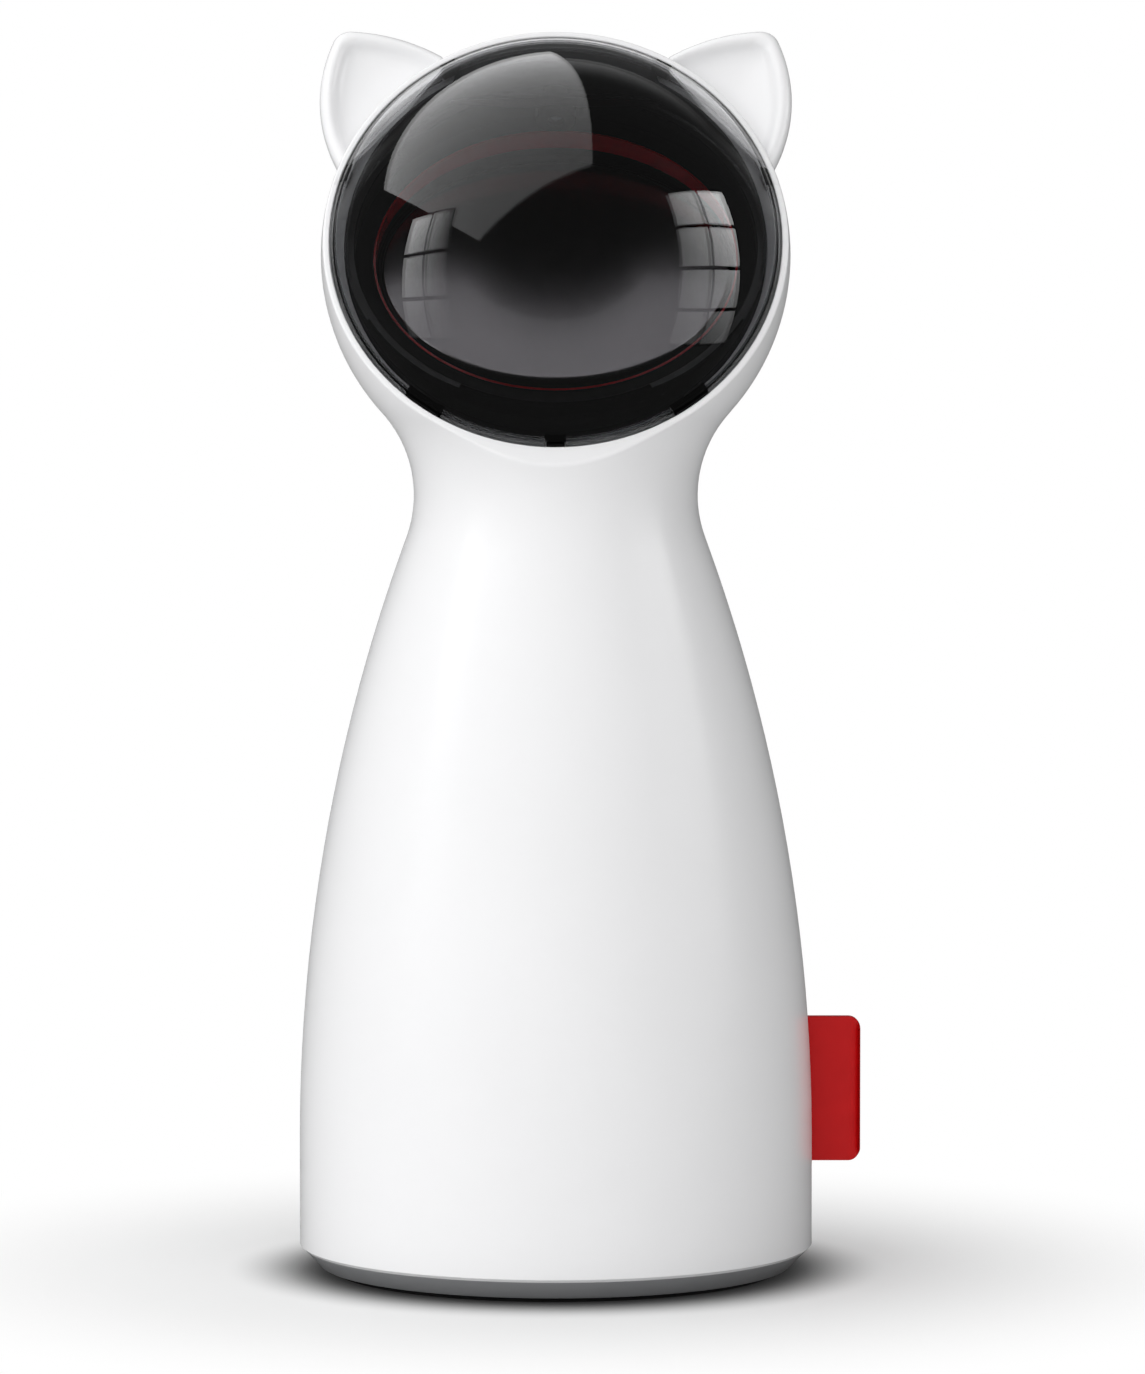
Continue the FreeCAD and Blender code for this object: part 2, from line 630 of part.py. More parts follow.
def on_rim(edge):
    """Whether an edge is the outer edge of the face's opening."""
    back = tilted("rim_tilt").inverse()
    points = [back.multVec(point) for point in edge.discretize(5)]
    return level_in(edge, tilted("rim_tilt"), at("rim_offset")) and all(
        math.hypot(point.x, point.y) > at("rebate_r") + at("rim_round") / 2 for point in points)


# ---- dome, bowl and ring ------------------------------------------------------------------------

def face_sizes():
    """The circles of the face, worked out from the head's sphere inwards."""
    for name, expression, meaning in (
            ("rebate_r", "sqrt(head_r ^ 2 - rim_offset ^ 2) - rim_width", "radius of the rebate for the dome"),
            ("dome_edge", "rebate_r - dome_gap", "outer radius of the dome's skirt"),
            ("dome_r", "(dome_edge ^ 2 + dome_rise ^ 2) / (2 * dome_rise)", "outer radius of the dome's sphere"),
            ("dome_centre", "rim_offset + dome_rise - dome_r", "dome's centre in front of the head's centre"),
            ("lip_r", "dome_edge - dome_wall - bezel_gap - bezel_width", "inner radius of the bowl's lip"),
            ("ring_out", "lip_r - ring_inset", "outer radius of the ring's slope"),
            ("ring_in", "ring_out - ring_width", "inner radius of the ring"),
            ("mirror_r", "ring_in - mirror_gap - carrier_lip", "radius of the mirror")):
        add_size(name, at(expression), meaning)


def lug_blocks(name, gap):
    """The lugs round the rim, or with a gap the notches for them."""
    for angle, wide in LUGS:
        width = "lug_wide" if wide else "lug_narrow"
        place = tilted("rim_tilt", x="dome_edge - dome_wall", z=f"rim_offset - bezel_seat - {gap}", turn=angle)
        yield block(name, f"2 * (dome_wall + {gap})", f"{width} + 2 * {gap}",
                    f"bezel_seat + lug_above + 2 * {gap}", place)


def make_dome():
    """The smoked dome with the skirt that sits in the rebate."""
    inner_r = "(dome_r - dome_wall)"
    low = "rim_offset - rebate_depth + dome_gap"
    dome = turned("dome_form", [
        ("dome_edge", low),
        ("dome_edge", "rim_offset"),
        ("0", "dome_centre + dome_r", "dome_r", 1),
        ("0", "dome_centre + dome_r - dome_wall"),
        ("dome_edge - dome_wall",
         f"dome_centre + sqrt({inner_r} ^ 2 - (dome_edge - dome_wall) ^ 2)", inner_r, -1),
        ("dome_edge - dome_wall", low),
    ], tilted("rim_tilt"))
    keep("dome_cover", cut("dome_notched", dome, *lug_blocks("notch", "lug_gap")))


def make_bowl():
    """The black bowl: a bezel from the rim to a lip with another tilt, the bowl, its floor and bosses."""
    sizes = "(lip_r ^ 2 + lip_offset ^ 2)"
    inner_r = f"sqrt({sizes})"
    outer_r = f"({inner_r} + bowl_wall)"
    back = "(floor_depth + floor_wall)"
    top = "rim_offset + bezel_seat"
    cup = turned("bowl_form", [
        ("0", f"-{back}"),
        (f"sqrt({outer_r} ^ 2 - {back} ^ 2)", f"-{back}"),
        (f"sqrt({outer_r} ^ 2 - ({top}) ^ 2)", top, outer_r, 1),
        (f"sqrt({inner_r} ^ 2 - ({top}) ^ 2)", top),
        (f"sqrt({inner_r} ^ 2 - floor_depth ^ 2)", "-floor_depth", inner_r, -1),
        ("0", "-floor_depth"),
    ], tilted("spin_tilt"))
    beyond_lip = block("beyond_lip", "4 * head_r", "4 * head_r", "head_r", tilted("lip_tilt", z="lip_offset"))
    edge = "dome_edge - dome_wall - bezel_gap"
    seat = "rim_offset - bezel_seat"
    bezel_r = f"sqrt(({edge}) ^ 2 + ({seat}) ^ 2)"
    below_rim = block("below_rim", "4 * head_r", "4 * head_r", f"2 * head_r + {seat} + bezel_flange",
                      tilted("rim_tilt", z="-2 * head_r"))
    above_lip = block("above_lip", "4 * head_r", "4 * head_r", "2 * head_r",
                      tilted("lip_tilt", z="lip_offset - lip_wall"))
    throat = sphere("bezel_inner", f"{bezel_r} - bezel_edge", tilted("rim_tilt"))
    bezel = cut("bezel", common("bezel_zone", sphere("bezel_outer", bezel_r, tilted("rim_tilt")),
                                below_rim, above_lip), throat)
    collar = common("collar", tube("collar_ring", "head_r", "lip_r", "lip_wall",
                                   tilted("lip_tilt", z="lip_offset - lip_wall")),
                    sphere("collar_limit", bezel_r, tilted("rim_tilt")), below_rim)
    flange = cut("flange", cylinder("flange_disc", edge, "bezel_flange", tilted("rim_tilt", z=seat)),
                 sphere("flange_bore", f"{outer_r} - bowl_wall / 2", tilted("rim_tilt")))
    cup_cut = cut("cup_cut", cup, beyond_lip)
    lugs = list(lug_blocks("lug", "0"))
    reach = cylinder("lug_reach", "dome_edge", "head_r", tilted("rim_tilt", z=seat))
    core = cylinder("lug_core", f"{edge} - bezel_edge / 2", "head_r", tilted("rim_tilt", z=f"{seat} - wall"))
    teeth = cut("lug_teeth", common("lug_round", fuse("lug_blocks", *lugs), reach), core)
    bosses = [cylinder("bracket_boss", "boss_r", f"bracket_depth - {back} + floor_wall / 2",
                       tilted("spin_tilt", x="boss_ring", z="-bracket_depth", turn=angle))
              for angle in BRACKET_BOSSES]
    bush_boss = cylinder("bush_boss", "bush_boss_r", "bush_length - floor_wall / 2",
                         tilted("spin_tilt", z="-floor_depth - bush_length"))
    limit = sphere("bowl_limit", "dome_r - dome_wall - bowl_clear", tilted("rim_tilt", z="dome_centre"))
    body = common("bowl_limited", fuse("bowl_fused", cup_cut, bezel, collar, flange), limit)
    holes = [cylinder("bracket_hole", "small_screw_r + hole_gap", "small_grip",
                      tilted("spin_tilt", x="boss_ring", z="-bracket_depth", turn=angle))
             for angle in BRACKET_BOSSES]
    bush_hole = cylinder("bush_hole", "bush_r", "bush_length + wall",
                         tilted("spin_tilt", z="-floor_depth - bush_length - wall / 2"))
    keep("mirror_bowl", cut("bowl", fuse("bowl_with_bosses", body, teeth, *bosses, bush_boss),
                            bush_hole, *holes, laser_rod("laser_way", "laser_r + holder_wall")))


def make_ring():
    """The red ring inside the bowl."""
    outer = "sqrt(lip_r ^ 2 + lip_offset ^ 2 - (ring_top + ring_height) ^ 2) - hole_gap"
    keep("accent_ring", turned("ring", [
        ("ring_in", "-ring_top - ring_height"),
        (outer, "-ring_top - ring_height"),
        (outer, "-ring_top"),
        ("ring_out", "-ring_top"),
        ("ring_in", "-ring_top - ring_slope"),
    ], tilted("spin_tilt")))


# ---- laser --------------------------------------------------------------------------------------

def laser_place(along):
    """A place on the laser's axis, whose own Z points away from the mirror's centre."""
    middle = tilted("spin_tilt", z="-mirror_back")
    return middle * Placement(Vector(), Rotation(Vector(1, 0, 0), -at("laser_tilt"))) * Placement(
        Vector(0, 0, at(along)), Rotation())


def laser_rod(name, radius):
    return cylinder(name, radius, "laser_length", laser_place("laser_start + holder_lead"))


def make_laser():
    """The laser module in the upper wall of the bowl, pointing at the mirror."""
    holder = cut("holder", laser_rod("holder_rod", "laser_r + holder_wall"),
                 cylinder("holder_bore", "laser_r", "2 * laser_length", laser_place("laser_start - wall")))
    hollow = sphere("head_hollow", "head_r - wall - dome_gap", tilted("spin_tilt"))
    keep("laser_holder", common("holder_trimmed", holder, hollow))
    barrel = cut("barrel", cylinder("barrel_rod", "laser_r", "laser_length", laser_place("laser_start")),
                 cylinder("barrel_mouth", "lens_r", "lens_depth * 5 / 2",
                          laser_place("laser_start - lens_depth / 2")))
    keep("laser_barrel", common("barrel_trimmed", barrel, hollow))
    keep("laser_lens", cylinder("lens", "lens_r", "lens_depth", laser_place("laser_start + lens_depth")))


# ---- mirror and drive ---------------------------------------------------------------------------

def drive_sizes():
    """Depths behind the head's centre along the mirror's axis, and the gears' centre distance."""
    add_size("gear_depth", at("floor_depth + bush_length + run_gap"), "upper face of the gears")
    add_size("bracket_depth", at("gear_depth + gear_thick + bracket_gap"), "upper face of the bracket")
    add_size("gear_centres", at("gear_module") * (GEAR_TEETH + PINION_TEETH) / 2, "gears' centre distance")


def gear_face(teeth, first_angle):
    """Face of a spur gear with involute flanks, with the middle of one tooth at the given angle."""
    module = at("gear_module")
    pitch_r = module * teeth / 2
    pressure = math.radians(PRESSURE_ANGLE)
    base_r = pitch_r * math.cos(pressure)
    root_r, tip_r = pitch_r - ROOT_DEPTH * module, pitch_r + TIP_HEIGHT * module
    play = at("gear_play") / (2 * pitch_r)
    half_tooth = math.pi / (2 * teeth) - play / 2

    def flank(radius):
        """Half angle of the tooth at a radius."""
        angle = math.acos(min(1, base_r / max(radius, base_r)))
        return half_tooth + (math.tan(pressure) - pressure) - (math.tan(angle) - angle)

    radii = [root_r, max(base_r, root_r + 0.1 * module), pitch_r, tip_r]
    points = []
    for tooth in range(teeth):
        middle = math.radians(first_angle) + tooth * 2 * math.pi / teeth
        angles = [(radius, middle - flank(radius)) for radius in radii]
        angles += [(radius, middle + flank(radius)) for radius in reversed(radii)]
        points += [Vector(radius * math.cos(angle), radius * math.sin(angle), 0) for radius, angle in angles]
    return Part.Face(Part.makePolygon(points + points[:1]))


def gear(name, teeth, first_angle, bore, place):
    """A spur gear with a bore."""
    made = doc.addObject("Part::Feature", name + "_blank")
    thick = at("gear_thick")
    made.Shape = gear_face(teeth, first_angle).extrude(Vector(0, 0, thick))
    made.Placement = place
    return cut(name, made, cylinder(name + "_bore", bore, "2 * gear_thick",
                                    place * Placement(Vector(0, 0, -thick / 2), Rotation())))


def make_mirror():
    """The mirror, tilted on its carrier, and the shaft that turns them."""
    lean = tilted("spin_tilt", z="-mirror_back") * Placement(
        Vector(), Rotation(Vector(1, 0, 0), -at("mirror_tilt")))

    def below(depth):
        return lean * Placement(Vector(0, 0, -at(depth)), Rotation())

    keep("mirror_disc", cylinder("mirror", "mirror_r", "mirror_thick", below("mirror_thick")))
    plate = cylinder("carrier_plate", "mirror_r + carrier_lip", "mirror_thick + carrier_thick",
                     below("mirror_thick + carrier_thick"))
    recess = cylinder("carrier_recess", "mirror_r", "2 * mirror_thick", below("mirror_thick"))
    hub = cylinder("carrier_hub", "hub_r", "floor_depth - mirror_back - mirror_thick - run_gap",
                   tilted("spin_tilt", z="-floor_depth + run_gap"))
    bore = cylinder("carrier_bore", "shaft_r", "floor_depth - mirror_back - mirror_thick - shaft_r",
                    tilted("spin_tilt", z="-floor_depth"))
    keep("mirror_carrier", cut("carrier", fuse("carrier_solid", plate, hub), recess, bore))
    keep("mirror_shaft", cylinder("shaft", "shaft_r",
                                  "bracket_depth + 2 * bracket_thick - mirror_back - mirror_thick - shaft_r",
                                  tilted("spin_tilt", z="-bracket_depth - 2 * bracket_thick")))
    keep("shaft_bush", tube("bush", "bush_r", "shaft_r + shaft_gap", "bush_length",
                            tilted("spin_tilt", z="-floor_depth - bush_length")))
    keep("output_gear", gear("big_gear", GEAR_TEETH, -90, "shaft_r",
                             tilted("spin_tilt", z="-gear_depth - gear_thick")))


def make_motor():
    """The motor behind its bracket, with the pinion that meshes with the output gear."""
    offset = "-gear_centres"

    def behind(depth):
        return tilted("spin_tilt", y=offset, z=f"-({depth})")

    half_step = 180 / PINION_TEETH
    keep("drive_pinion", gear("small_gear", PINION_TEETH, 90 + half_step, "motor_shaft_r",
                              behind("gear_depth + gear_thick")))
    shaft_end = "bracket_depth + bracket_thick + shaft_in_motor"
    keep("motor_shaft", cylinder("motor_rod", "motor_shaft_r", f"{shaft_end} - gear_depth", behind(shaft_end)))
    nose = cylinder("motor_nose", "motor_nose_r", "bracket_thick + wall / 2",
                    behind("bracket_depth + bracket_thick + wall / 2"))
    can = cylinder("motor_body", "motor_r", "motor_length", behind("bracket_depth + bracket_thick + motor_length"))
    bearing = cylinder("motor_bearing", "motor_shaft_r + shaft_gap", f"{shaft_end} - gear_depth + run_gap",
                       behind(f"{shaft_end} + run_gap"))
    keep("motor_can", cut("motor", fuse("motor_solid", nose, can), bearing))
    end = "bracket_depth + bracket_thick + motor_length + endcap_length"
    pins = [block("terminal", "terminal_wide", "contact_thick", "endcap_length + wall",
                  tilted("spin_tilt", x=f"{sign}terminal_x", y=offset, z=f"-({end} + wall)"))
            for sign in ("", "-")]
    keep("motor_end_cap", fuse("end_cap", cylinder("end_disc", "motor_r", "endcap_length", behind(end)), *pins))
    low = "-bracket_depth - bracket_thick"
    plate = fuse("bracket_plate",
                 cylinder("bracket_disc", "bracket_r", "bracket_thick", tilted("spin_tilt", z=low)),
                 cylinder("bracket_end", "motor_r + motor_flange", "bracket_thick",
                          tilted("spin_tilt", y=offset, z=low)))
    ways = [cylinder("bracket_way", "small_screw_r + 2 * hole_gap", "bracket_thick",
                     tilted("spin_tilt", x="boss_ring", z=low, turn=angle)) for angle in BRACKET_BOSSES]
    ways.append(cylinder("nose_way", "motor_nose_r + hole_gap", "bracket_thick",
                         tilted("spin_tilt", y=offset, z=low)))
    ways.append(cylinder("shaft_way", "shaft_r + shaft_gap", "bracket_thick", tilted("spin_tilt", z=low)))
    keep("motor_bracket", cut("bracket", plate, *ways))
    keep("bracket_screws", group("bracket_screw_set", *[
        screw("bracket_screw", "small_screw_r", "bracket_thick + small_grip - hole_gap", "small_head_r", "small_head",
              tilted("spin_tilt", x="boss_ring", z=low, turn=angle)) for angle in BRACKET_BOSSES]))


def screw(name, radius, length, head_r, head, place):
    """A pan-head screw: shank up along its place's Z, head below it."""
    below = place * Placement(Vector(0, 0, -at(head)), Rotation())
    return fuse(name, cylinder(name + "_shank", radius, length, place),
                cone(name + "_head", f"{head_r} * {HEAD_TAPER}", head_r, head, below))


# ---- side tag -----------------------------------------------------------------------------------

def make_tag(hollow):
    """The soft tag that the shells clamp in their seam, with its outer corners rounded."""
    low, high = "body_r - wall - tag_anchor", "(body_r + tag_out)"
    plate = padded("tag_plate", [
        (low, "tag_low"),
        (f"{high} - tag_round", "tag_low"),
        (high, "tag_low + tag_round", "tag_round", 1),
        (high, "tag_high - tag_round"),
        (f"{high} - tag_round", "tag_high", "tag_round", 1),
        (low, "tag_high"),
    ], "tag_thick", Placement(Vector(0, at("tag_thick / 2"), 0), Rotation(Vector(1, 0, 0), 90)))
    anchor = block("tag_anchor_bar", "tag_anchor", "tag_anchor_wide", "tag_high - tag_low",
                   upright(x=f"{low} + tag_anchor / 2 - hole_gap", z="tag_low"))
    keep("side_tag", fuse("tag", plate, common("anchor_limited", anchor, hollow)))


# ---- base, door and batteries -------------------------------------------------------------------

def base_sizes():
    """The base's heights, and its circles, worked out from the door outwards."""
    for name, expression, meaning in (
            ("floor_top", "base_bottom + base_floor", "upper face of the base's floor"),
            ("base_top", "shell_bottom + spigot_high", "top of the base's spigot"),
            ("tab_bottom", "floor_top + door_gap", "underside of the door's tabs"),
            ("door_skirt_r", "door_r - door_skirt_in", "radius of the ring inside the door"),
            ("tab_reach", "door_r + tab_long", "radius that the door's tabs reach"),
            ("holder_flange_r", "tab_reach + 2 * door_gap + holder_foot", "radius of the holder's flange"),
            ("base_screw_ring", "holder_flange_r + base_boss_gap + base_boss_r", "base screws from the middle"),
            ("foot_r", "body_r - foot_taper", "radius of the base at its lower edge"),
            ("tread_in", "base_screw_ring - tread_inset", "inner radius of the rubber ring"),
            ("tread_out", "foot_r - tread_edge", "outer radius of the rubber ring")):
        add_size(name, at(expression), meaning)


def make_base():
    """The grey base with its spigot, the groove for the rubber ring and the door's opening."""
    spigot = "body_r - wall - spigot_gap"
    form = turned("base_form", [
        ("door_r + door_gap", "base_bottom"),
        ("foot_r", "base_bottom"),
        ("body_r - edge_chamfer", "shell_bottom"),
        (spigot, "shell_bottom"),
        (spigot, "base_top"),
        (f"{spigot} - spigot_wall", "base_top"),
        (f"{spigot} - spigot_wall", "floor_top"),
        ("door_r + door_gap", "floor_top"),
    ], Placement())
    groove = tube("groove", "tread_out", "tread_in", "tread_sunk", upright(z="base_bottom"))
    notches = [block("tab_notch", "2 * (tab_reach - door_r + door_gap)", "tab_wide + 4 * door_gap",
                     "base_floor", upright(z="base_bottom", turn=angle + at("door_turn")) * Placement(
                         Vector(at("door_r"), 0, 0), Rotation())) for angle in DOOR_TABS]
    bosses = []
    ways = []
    for angle in BASE_SCREWS:
        spot = upright(turn=angle) * Placement(Vector(at("base_screw_ring"), 0, 0), Rotation())

        def raised(height):
            return spot * Placement(Vector(0, 0, at(height)), Rotation())

        bosses.append(cylinder("screw_boss", "base_boss_r", "base_top - floor_top", raised("floor_top")))
        ways.append(cylinder("base_way", "small_screw_r + 2 * hole_gap", "base_top", raised("0")))
        ways.append(cylinder("base_head_way", "small_head_r + head_gap", "tread_sunk + small_head",
                             raised("base_bottom")))
    within = common("bosses_limited", fuse("screw_bosses", *bosses),
                    cylinder("spigot_limit", spigot, "base_top", Placement()))
    keep("base_cover", cut("base", fuse("base_solid", form, within), groove, *notches, *ways))
    keep("foot_ring", tube("tread", "tread_out - hole_gap", "tread_in + hole_gap", "base_bottom + tread_sunk",
                           Placement()))
    seat = "(base_bottom + tread_sunk + small_head)"
    keep("base_screws", group("base_screw_set", *[
        screw("base_screw", "small_screw_r", f"base_top + small_grip - {seat}", "small_head_r", "small_head",
              upright(z=seat, turn=angle) * Placement(Vector(at("base_screw_ring"), 0, 0), Rotation()))
        for angle in BASE_SCREWS]))


def make_door():
    """The round battery door: three tabs lock it over the base's floor."""
    low = "(base_bottom + door_recess)"
    plate = cylinder("door_plate", "door_r", "door_thick", upright(z=low))
    top = f"{low} + door_thick"
    skirt = tube("door_skirt", "door_skirt_r", "door_skirt_r - door_skirt_wall",
                 f"tab_bottom + tab_thick - {low} - door_thick / 2", upright(z=f"{low} + door_thick / 2"))
    plateau = cylinder("door_step", "door_plateau_r", "door_plateau + door_thick / 2",
                       upright(z=f"{low} + door_thick / 2"))
    tabs = [block("tab", "tab_reach - door_skirt_r + door_skirt_wall / 2", "tab_wide", "tab_thick",
                  upright(z="tab_bottom", turn=angle) * Placement(
                      Vector(at("(tab_reach + door_skirt_r - door_skirt_wall / 2) / 2"), 0, 0), Rotation()))
            for angle in DOOR_TABS]
    hollows = [block("grip", "grip_long", "grip_wide", "grip_deep", upright(y=f"{sign}grip_y", z=low))
               for sign in ("", "-")]
    keep("battery_door", cut("door", fuse("door_solid", plate, skirt, plateau, *tabs), *hollows))
    face = f"{top} + door_plateau"
    domes = [cone("door_contact_dome", "contact_r", "contact_top_r",
                  f"cell_bottom - ({face}) - contact_thick - door_gap",
                  upright(z=f"{face} + contact_thick", turn=angle) * Placement(
                      Vector(at("cell_ring"), 0, 0), Rotation())) for angle in CELLS]
    disc = cylinder("door_contact_disc", "door_plateau_r - door_gap", "contact_thick", upright(z=face))
    keep("door_contact", fuse("door_contacts", disc, *domes))


def cell_spots(height):
    for angle in CELLS:
        yield upright(z=height, turn=angle) * Placement(Vector(at("cell_ring"), 0, 0), Rotation())


def make_batteries():
    """The holder that stands on the base, three upright cells and their upper contacts."""
    cell_top = "cell_bottom + cell_length + cell_cap"
    well = f"{cell_top} + 2 * contact_thick"
    outer = cylinder("holder_body", "holder_r", f"{well} + holder_cap - holder_floor", upright(z="holder_floor"))
    flange = cylinder("holder_plate", "holder_flange_r", "holder_flange", upright(z="holder_floor"))
    wall = tube("holder_foot", "holder_flange_r", "tab_reach + 2 * door_gap", "holder_floor - floor_top",
                upright(z="floor_top"))
    wells = [cylinder("well", "cell_r + cell_gap", f"{well} - holder_floor", spot)
             for spot in cell_spots("holder_floor")]
    keep("battery_holder", cut("holder_cut", fuse("holder_solid", outer, flange, wall), *wells))
    cells = [fuse("cell", cylinder("cell_body", "cell_r", "cell_length", spot),
                  cylinder("cell_tip", "cell_cap_r", "cell_length + cell_cap", spot))
             for spot in cell_spots("cell_bottom")]
    keep("battery_cells", group("cell_set", *cells))
    keep("cell_contacts", group("contact_set", *[
        cylinder("contact", "contact_r", "contact_thick", spot) for spot in cell_spots(cell_top)]))


# ---- electronics, button and socket -------------------------------------------------------------

def board_posts():
    """Middles of the board's four posts."""
    for x in ("board_wide / 2 - post_inset", "-(board_wide / 2 - post_inset)"):
        for z in ("board_low + post_inset", "board_high - post_inset"):
            yield x, z


def make_board():
    """The control board on four posts of the rear shell, with its switch, chip and socket."""
    board = block("board_plate", "board_wide", "board_high - board_low", "board_thick",
                  to_back(y="board_y", z="(board_low + board_high) / 2"))
    ways = [cylinder("board_way", "small_screw_r + 2 * hole_gap", "2 * board_thick",
                     to_back(x, "board_y - board_thick / 2", z)) for x, z in board_posts()]
    keep("control_board", cut("board", board, *ways))
    keep("board_screws", group("board_screw_set", *[
        screw("board_screw", "small_screw_r", "board_thick + small_grip - hole_gap", "small_head_r", "small_head",
              to_back(x, "board_y", z)) for x, z in board_posts()]))
    outside = "board_y + board_thick"
    behind_button = to_back(y=outside, z="button_z")
    keep("tact_switch", fuse(
        "switch", block("switch_body", "switch_wide", "switch_wide", "switch_thick", behind_button),
        cylinder("plunger", "plunger_r", "switch_thick + plunger_high", behind_button)))
    chips = [block("chip", "chip_wide", "chip_wide", "chip_thick",
                   to_back(y="board_y - chip_thick", z="(board_low + board_high) / 2")),
             cylinder("capacitor", "capacitor_r", "tall_part",
                      to_back(y="board_y - tall_part", z="board_high - part_inset")),
             block("wire_plug", "chip_wide", "tall_part", "tall_part",
                   to_back(y="board_y - tall_part", z="board_low + part_inset"))]
    keep("board_parts", group("chips", *chips))
    mouth = "body_r - socket_short"
    housing = block("socket_body", "socket_wide", "socket_high", f"{mouth} - ({outside})",
                    to_back(y=outside, z="socket_z"))
    inner = block("socket_mouth", "socket_wide - 2 * socket_wall", "socket_high - 2 * socket_wall",
                  "socket_deep", to_back(y=f"{mouth} - socket_deep", z="socket_z"))
    tongue = block("socket_tongue", "tongue_wide", "tongue_thick", "socket_deep - tongue_short",
                   to_back(y=f"{mouth} - socket_deep", z="socket_z"))
    keep("usb_socket", fuse("socket", cut("socket_shell", housing, inner), tongue))


def button_sizes():
    """Where the board and the button's parts lie, worked out from the body's side."""
    side = at("body_r - body_curve + sqrt(body_curve ^ 2 - (button_z - straight_top) ^ 2)")
    add_size("side_y", side, "body's side at the button's height")
    add_size("board_y", at("side_y - board_inset"), "board's inner face from the middle")
    add_size("button_back", at("board_y + board_thick + switch_thick + plunger_high + button_stop + button_travel"),
             "button's inner end")
    add_size("glow_back", at("button_back + button_flange + run_gap"), "light ring's inner end")


def make_button():
    """The power button at the back, in the clear ring that lights up round it."""
    tip = "side_y + glow_proud"
    inner_end = to_back(y="glow_back", z="button_z")
    ring = fuse("glow", cylinder("glow_flange", "glow_flange_r", "glow_flange", inner_end),
                cylinder("glow_tube", "glow_r", f"{tip} - glow_back", inner_end))
    keep("light_ring", cut("glow_bored", ring, cylinder("glow_bore", "button_r + button_gap", "body_r",
                                                        to_back(y="button_back", z="button_z"))))
    cap = cylinder("button_cap", "button_r", f"{tip} + button_proud - button_back",
                   to_back(y="button_back", z="button_z"))
    flange = cylinder("button_foot", "button_flange_r", "button_flange", to_back(y="button_back", z="button_z"))
    dish = sphere("button_dish", "dish_r", to_back(y=f"{tip} + dish_r", z="button_z"))
    keep("power_button", cut("button", fuse("button_solid", cap, flange), dish))


def make_shell_screws():
    """Four screws from the back, through the rear shell's towers into the front shell's."""
    def toward_front(x, z):
        return Placement(Vector(at(x), at("screw_seat"), at(z)), Rotation(Vector(1, 0, 0), 90))

    keep("shell_screws", group("shell_screw_set", *[
        screw("shell_screw", "screw_r", "screw_seat + screw_grip", "screw_head_r", "screw_head",
              toward_front(x, z)) for x, z in towers()]))


# ---- check and export ---------------------------------------------------------------------------

def check():
    """Stop if an object failed, or a sub-part has no sound solid."""
    doc.recompute()
    for made in doc.Objects:
        if "Invalid" in made.State or "Error" in made.State:
            raise RuntimeError(f"{made.Name} failed: {made.State}")
    for label, made in parts.items():
        if made.Shape.isNull() or not made.Shape.isValid() or not made.Shape.Solids:
            raise RuntimeError(f"{label} has no sound solid")


def export():
    """Write each sub-part to a STEP file named after it."""
    os.makedirs("parts", exist_ok=True)
    for label, made in parts.items():
        made.Shape.exportStep(f"parts/{label}.step")
        box = made.Shape.BoundBox
        print(f"{label:16s} solids {len(made.Shape.Solids)}  volume {made.Shape.Volume:9.1f}  "
              f"x {box.XMin:6.1f} {box.XMax:6.1f}  y {box.YMin:6.1f} {box.YMax:6.1f}  "
              f"z {box.ZMin:6.1f} {box.ZMax:6.1f}")


fill_sheet()
neck_sizes()
face_sizes()
base_sizes()
drive_sizes()
button_sizes()
add_size("cell_ring", at("cell_pitch / sqrt(3)"), "cells' middles from the toy's axis")
outer_form, inner_form = make_forms()
make_shells(outer_form, inner_form)
make_dome()
make_bowl()
make_ring()
make_laser()
make_mirror()
make_motor()
make_tag(inner_form)
make_base()
make_door()
make_batteries()
make_board()
make_button()
make_shell_screws()
check()
export()
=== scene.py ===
# %% [markdown]
# # A cat laser toy
# A plastic figure with a round body, a cat's head and a clear dome for a face. A motor turns a tilted mirror
# behind the dome, and the mirror throws the dot of a small laser round the room.
# The measured solids come first. They are the frame that every visible piece is fitted to.

# %% The frame
import math

import bpy
from mathutils import Matrix, Vector


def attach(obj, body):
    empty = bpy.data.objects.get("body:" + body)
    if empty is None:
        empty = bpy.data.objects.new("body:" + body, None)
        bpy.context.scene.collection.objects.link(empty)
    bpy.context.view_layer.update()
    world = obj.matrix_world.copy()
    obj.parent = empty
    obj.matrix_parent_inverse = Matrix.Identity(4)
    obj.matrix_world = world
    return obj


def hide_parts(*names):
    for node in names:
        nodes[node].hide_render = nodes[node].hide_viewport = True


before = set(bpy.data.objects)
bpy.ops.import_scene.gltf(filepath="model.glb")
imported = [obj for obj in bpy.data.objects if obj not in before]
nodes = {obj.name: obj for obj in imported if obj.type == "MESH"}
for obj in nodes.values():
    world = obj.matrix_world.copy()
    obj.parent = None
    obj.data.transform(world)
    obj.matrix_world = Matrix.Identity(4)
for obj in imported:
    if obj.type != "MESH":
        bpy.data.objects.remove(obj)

bpy.ops.object.select_all(action="DESELECT")
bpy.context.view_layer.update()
MM = 0.001

# %% [markdown]
# ## Places
# The face leans back, and so do the bowl and the mirror behind it, each by its own angle. A matrix carries
# each of those tilts: its own Z points out of the face and its own X stays level.

# %% Places about the middle of the head
HEAD_Z = 170.6
RIM_TILT, LIP_TILT, SPIN_TILT = 29.0, 43.0, 51.0


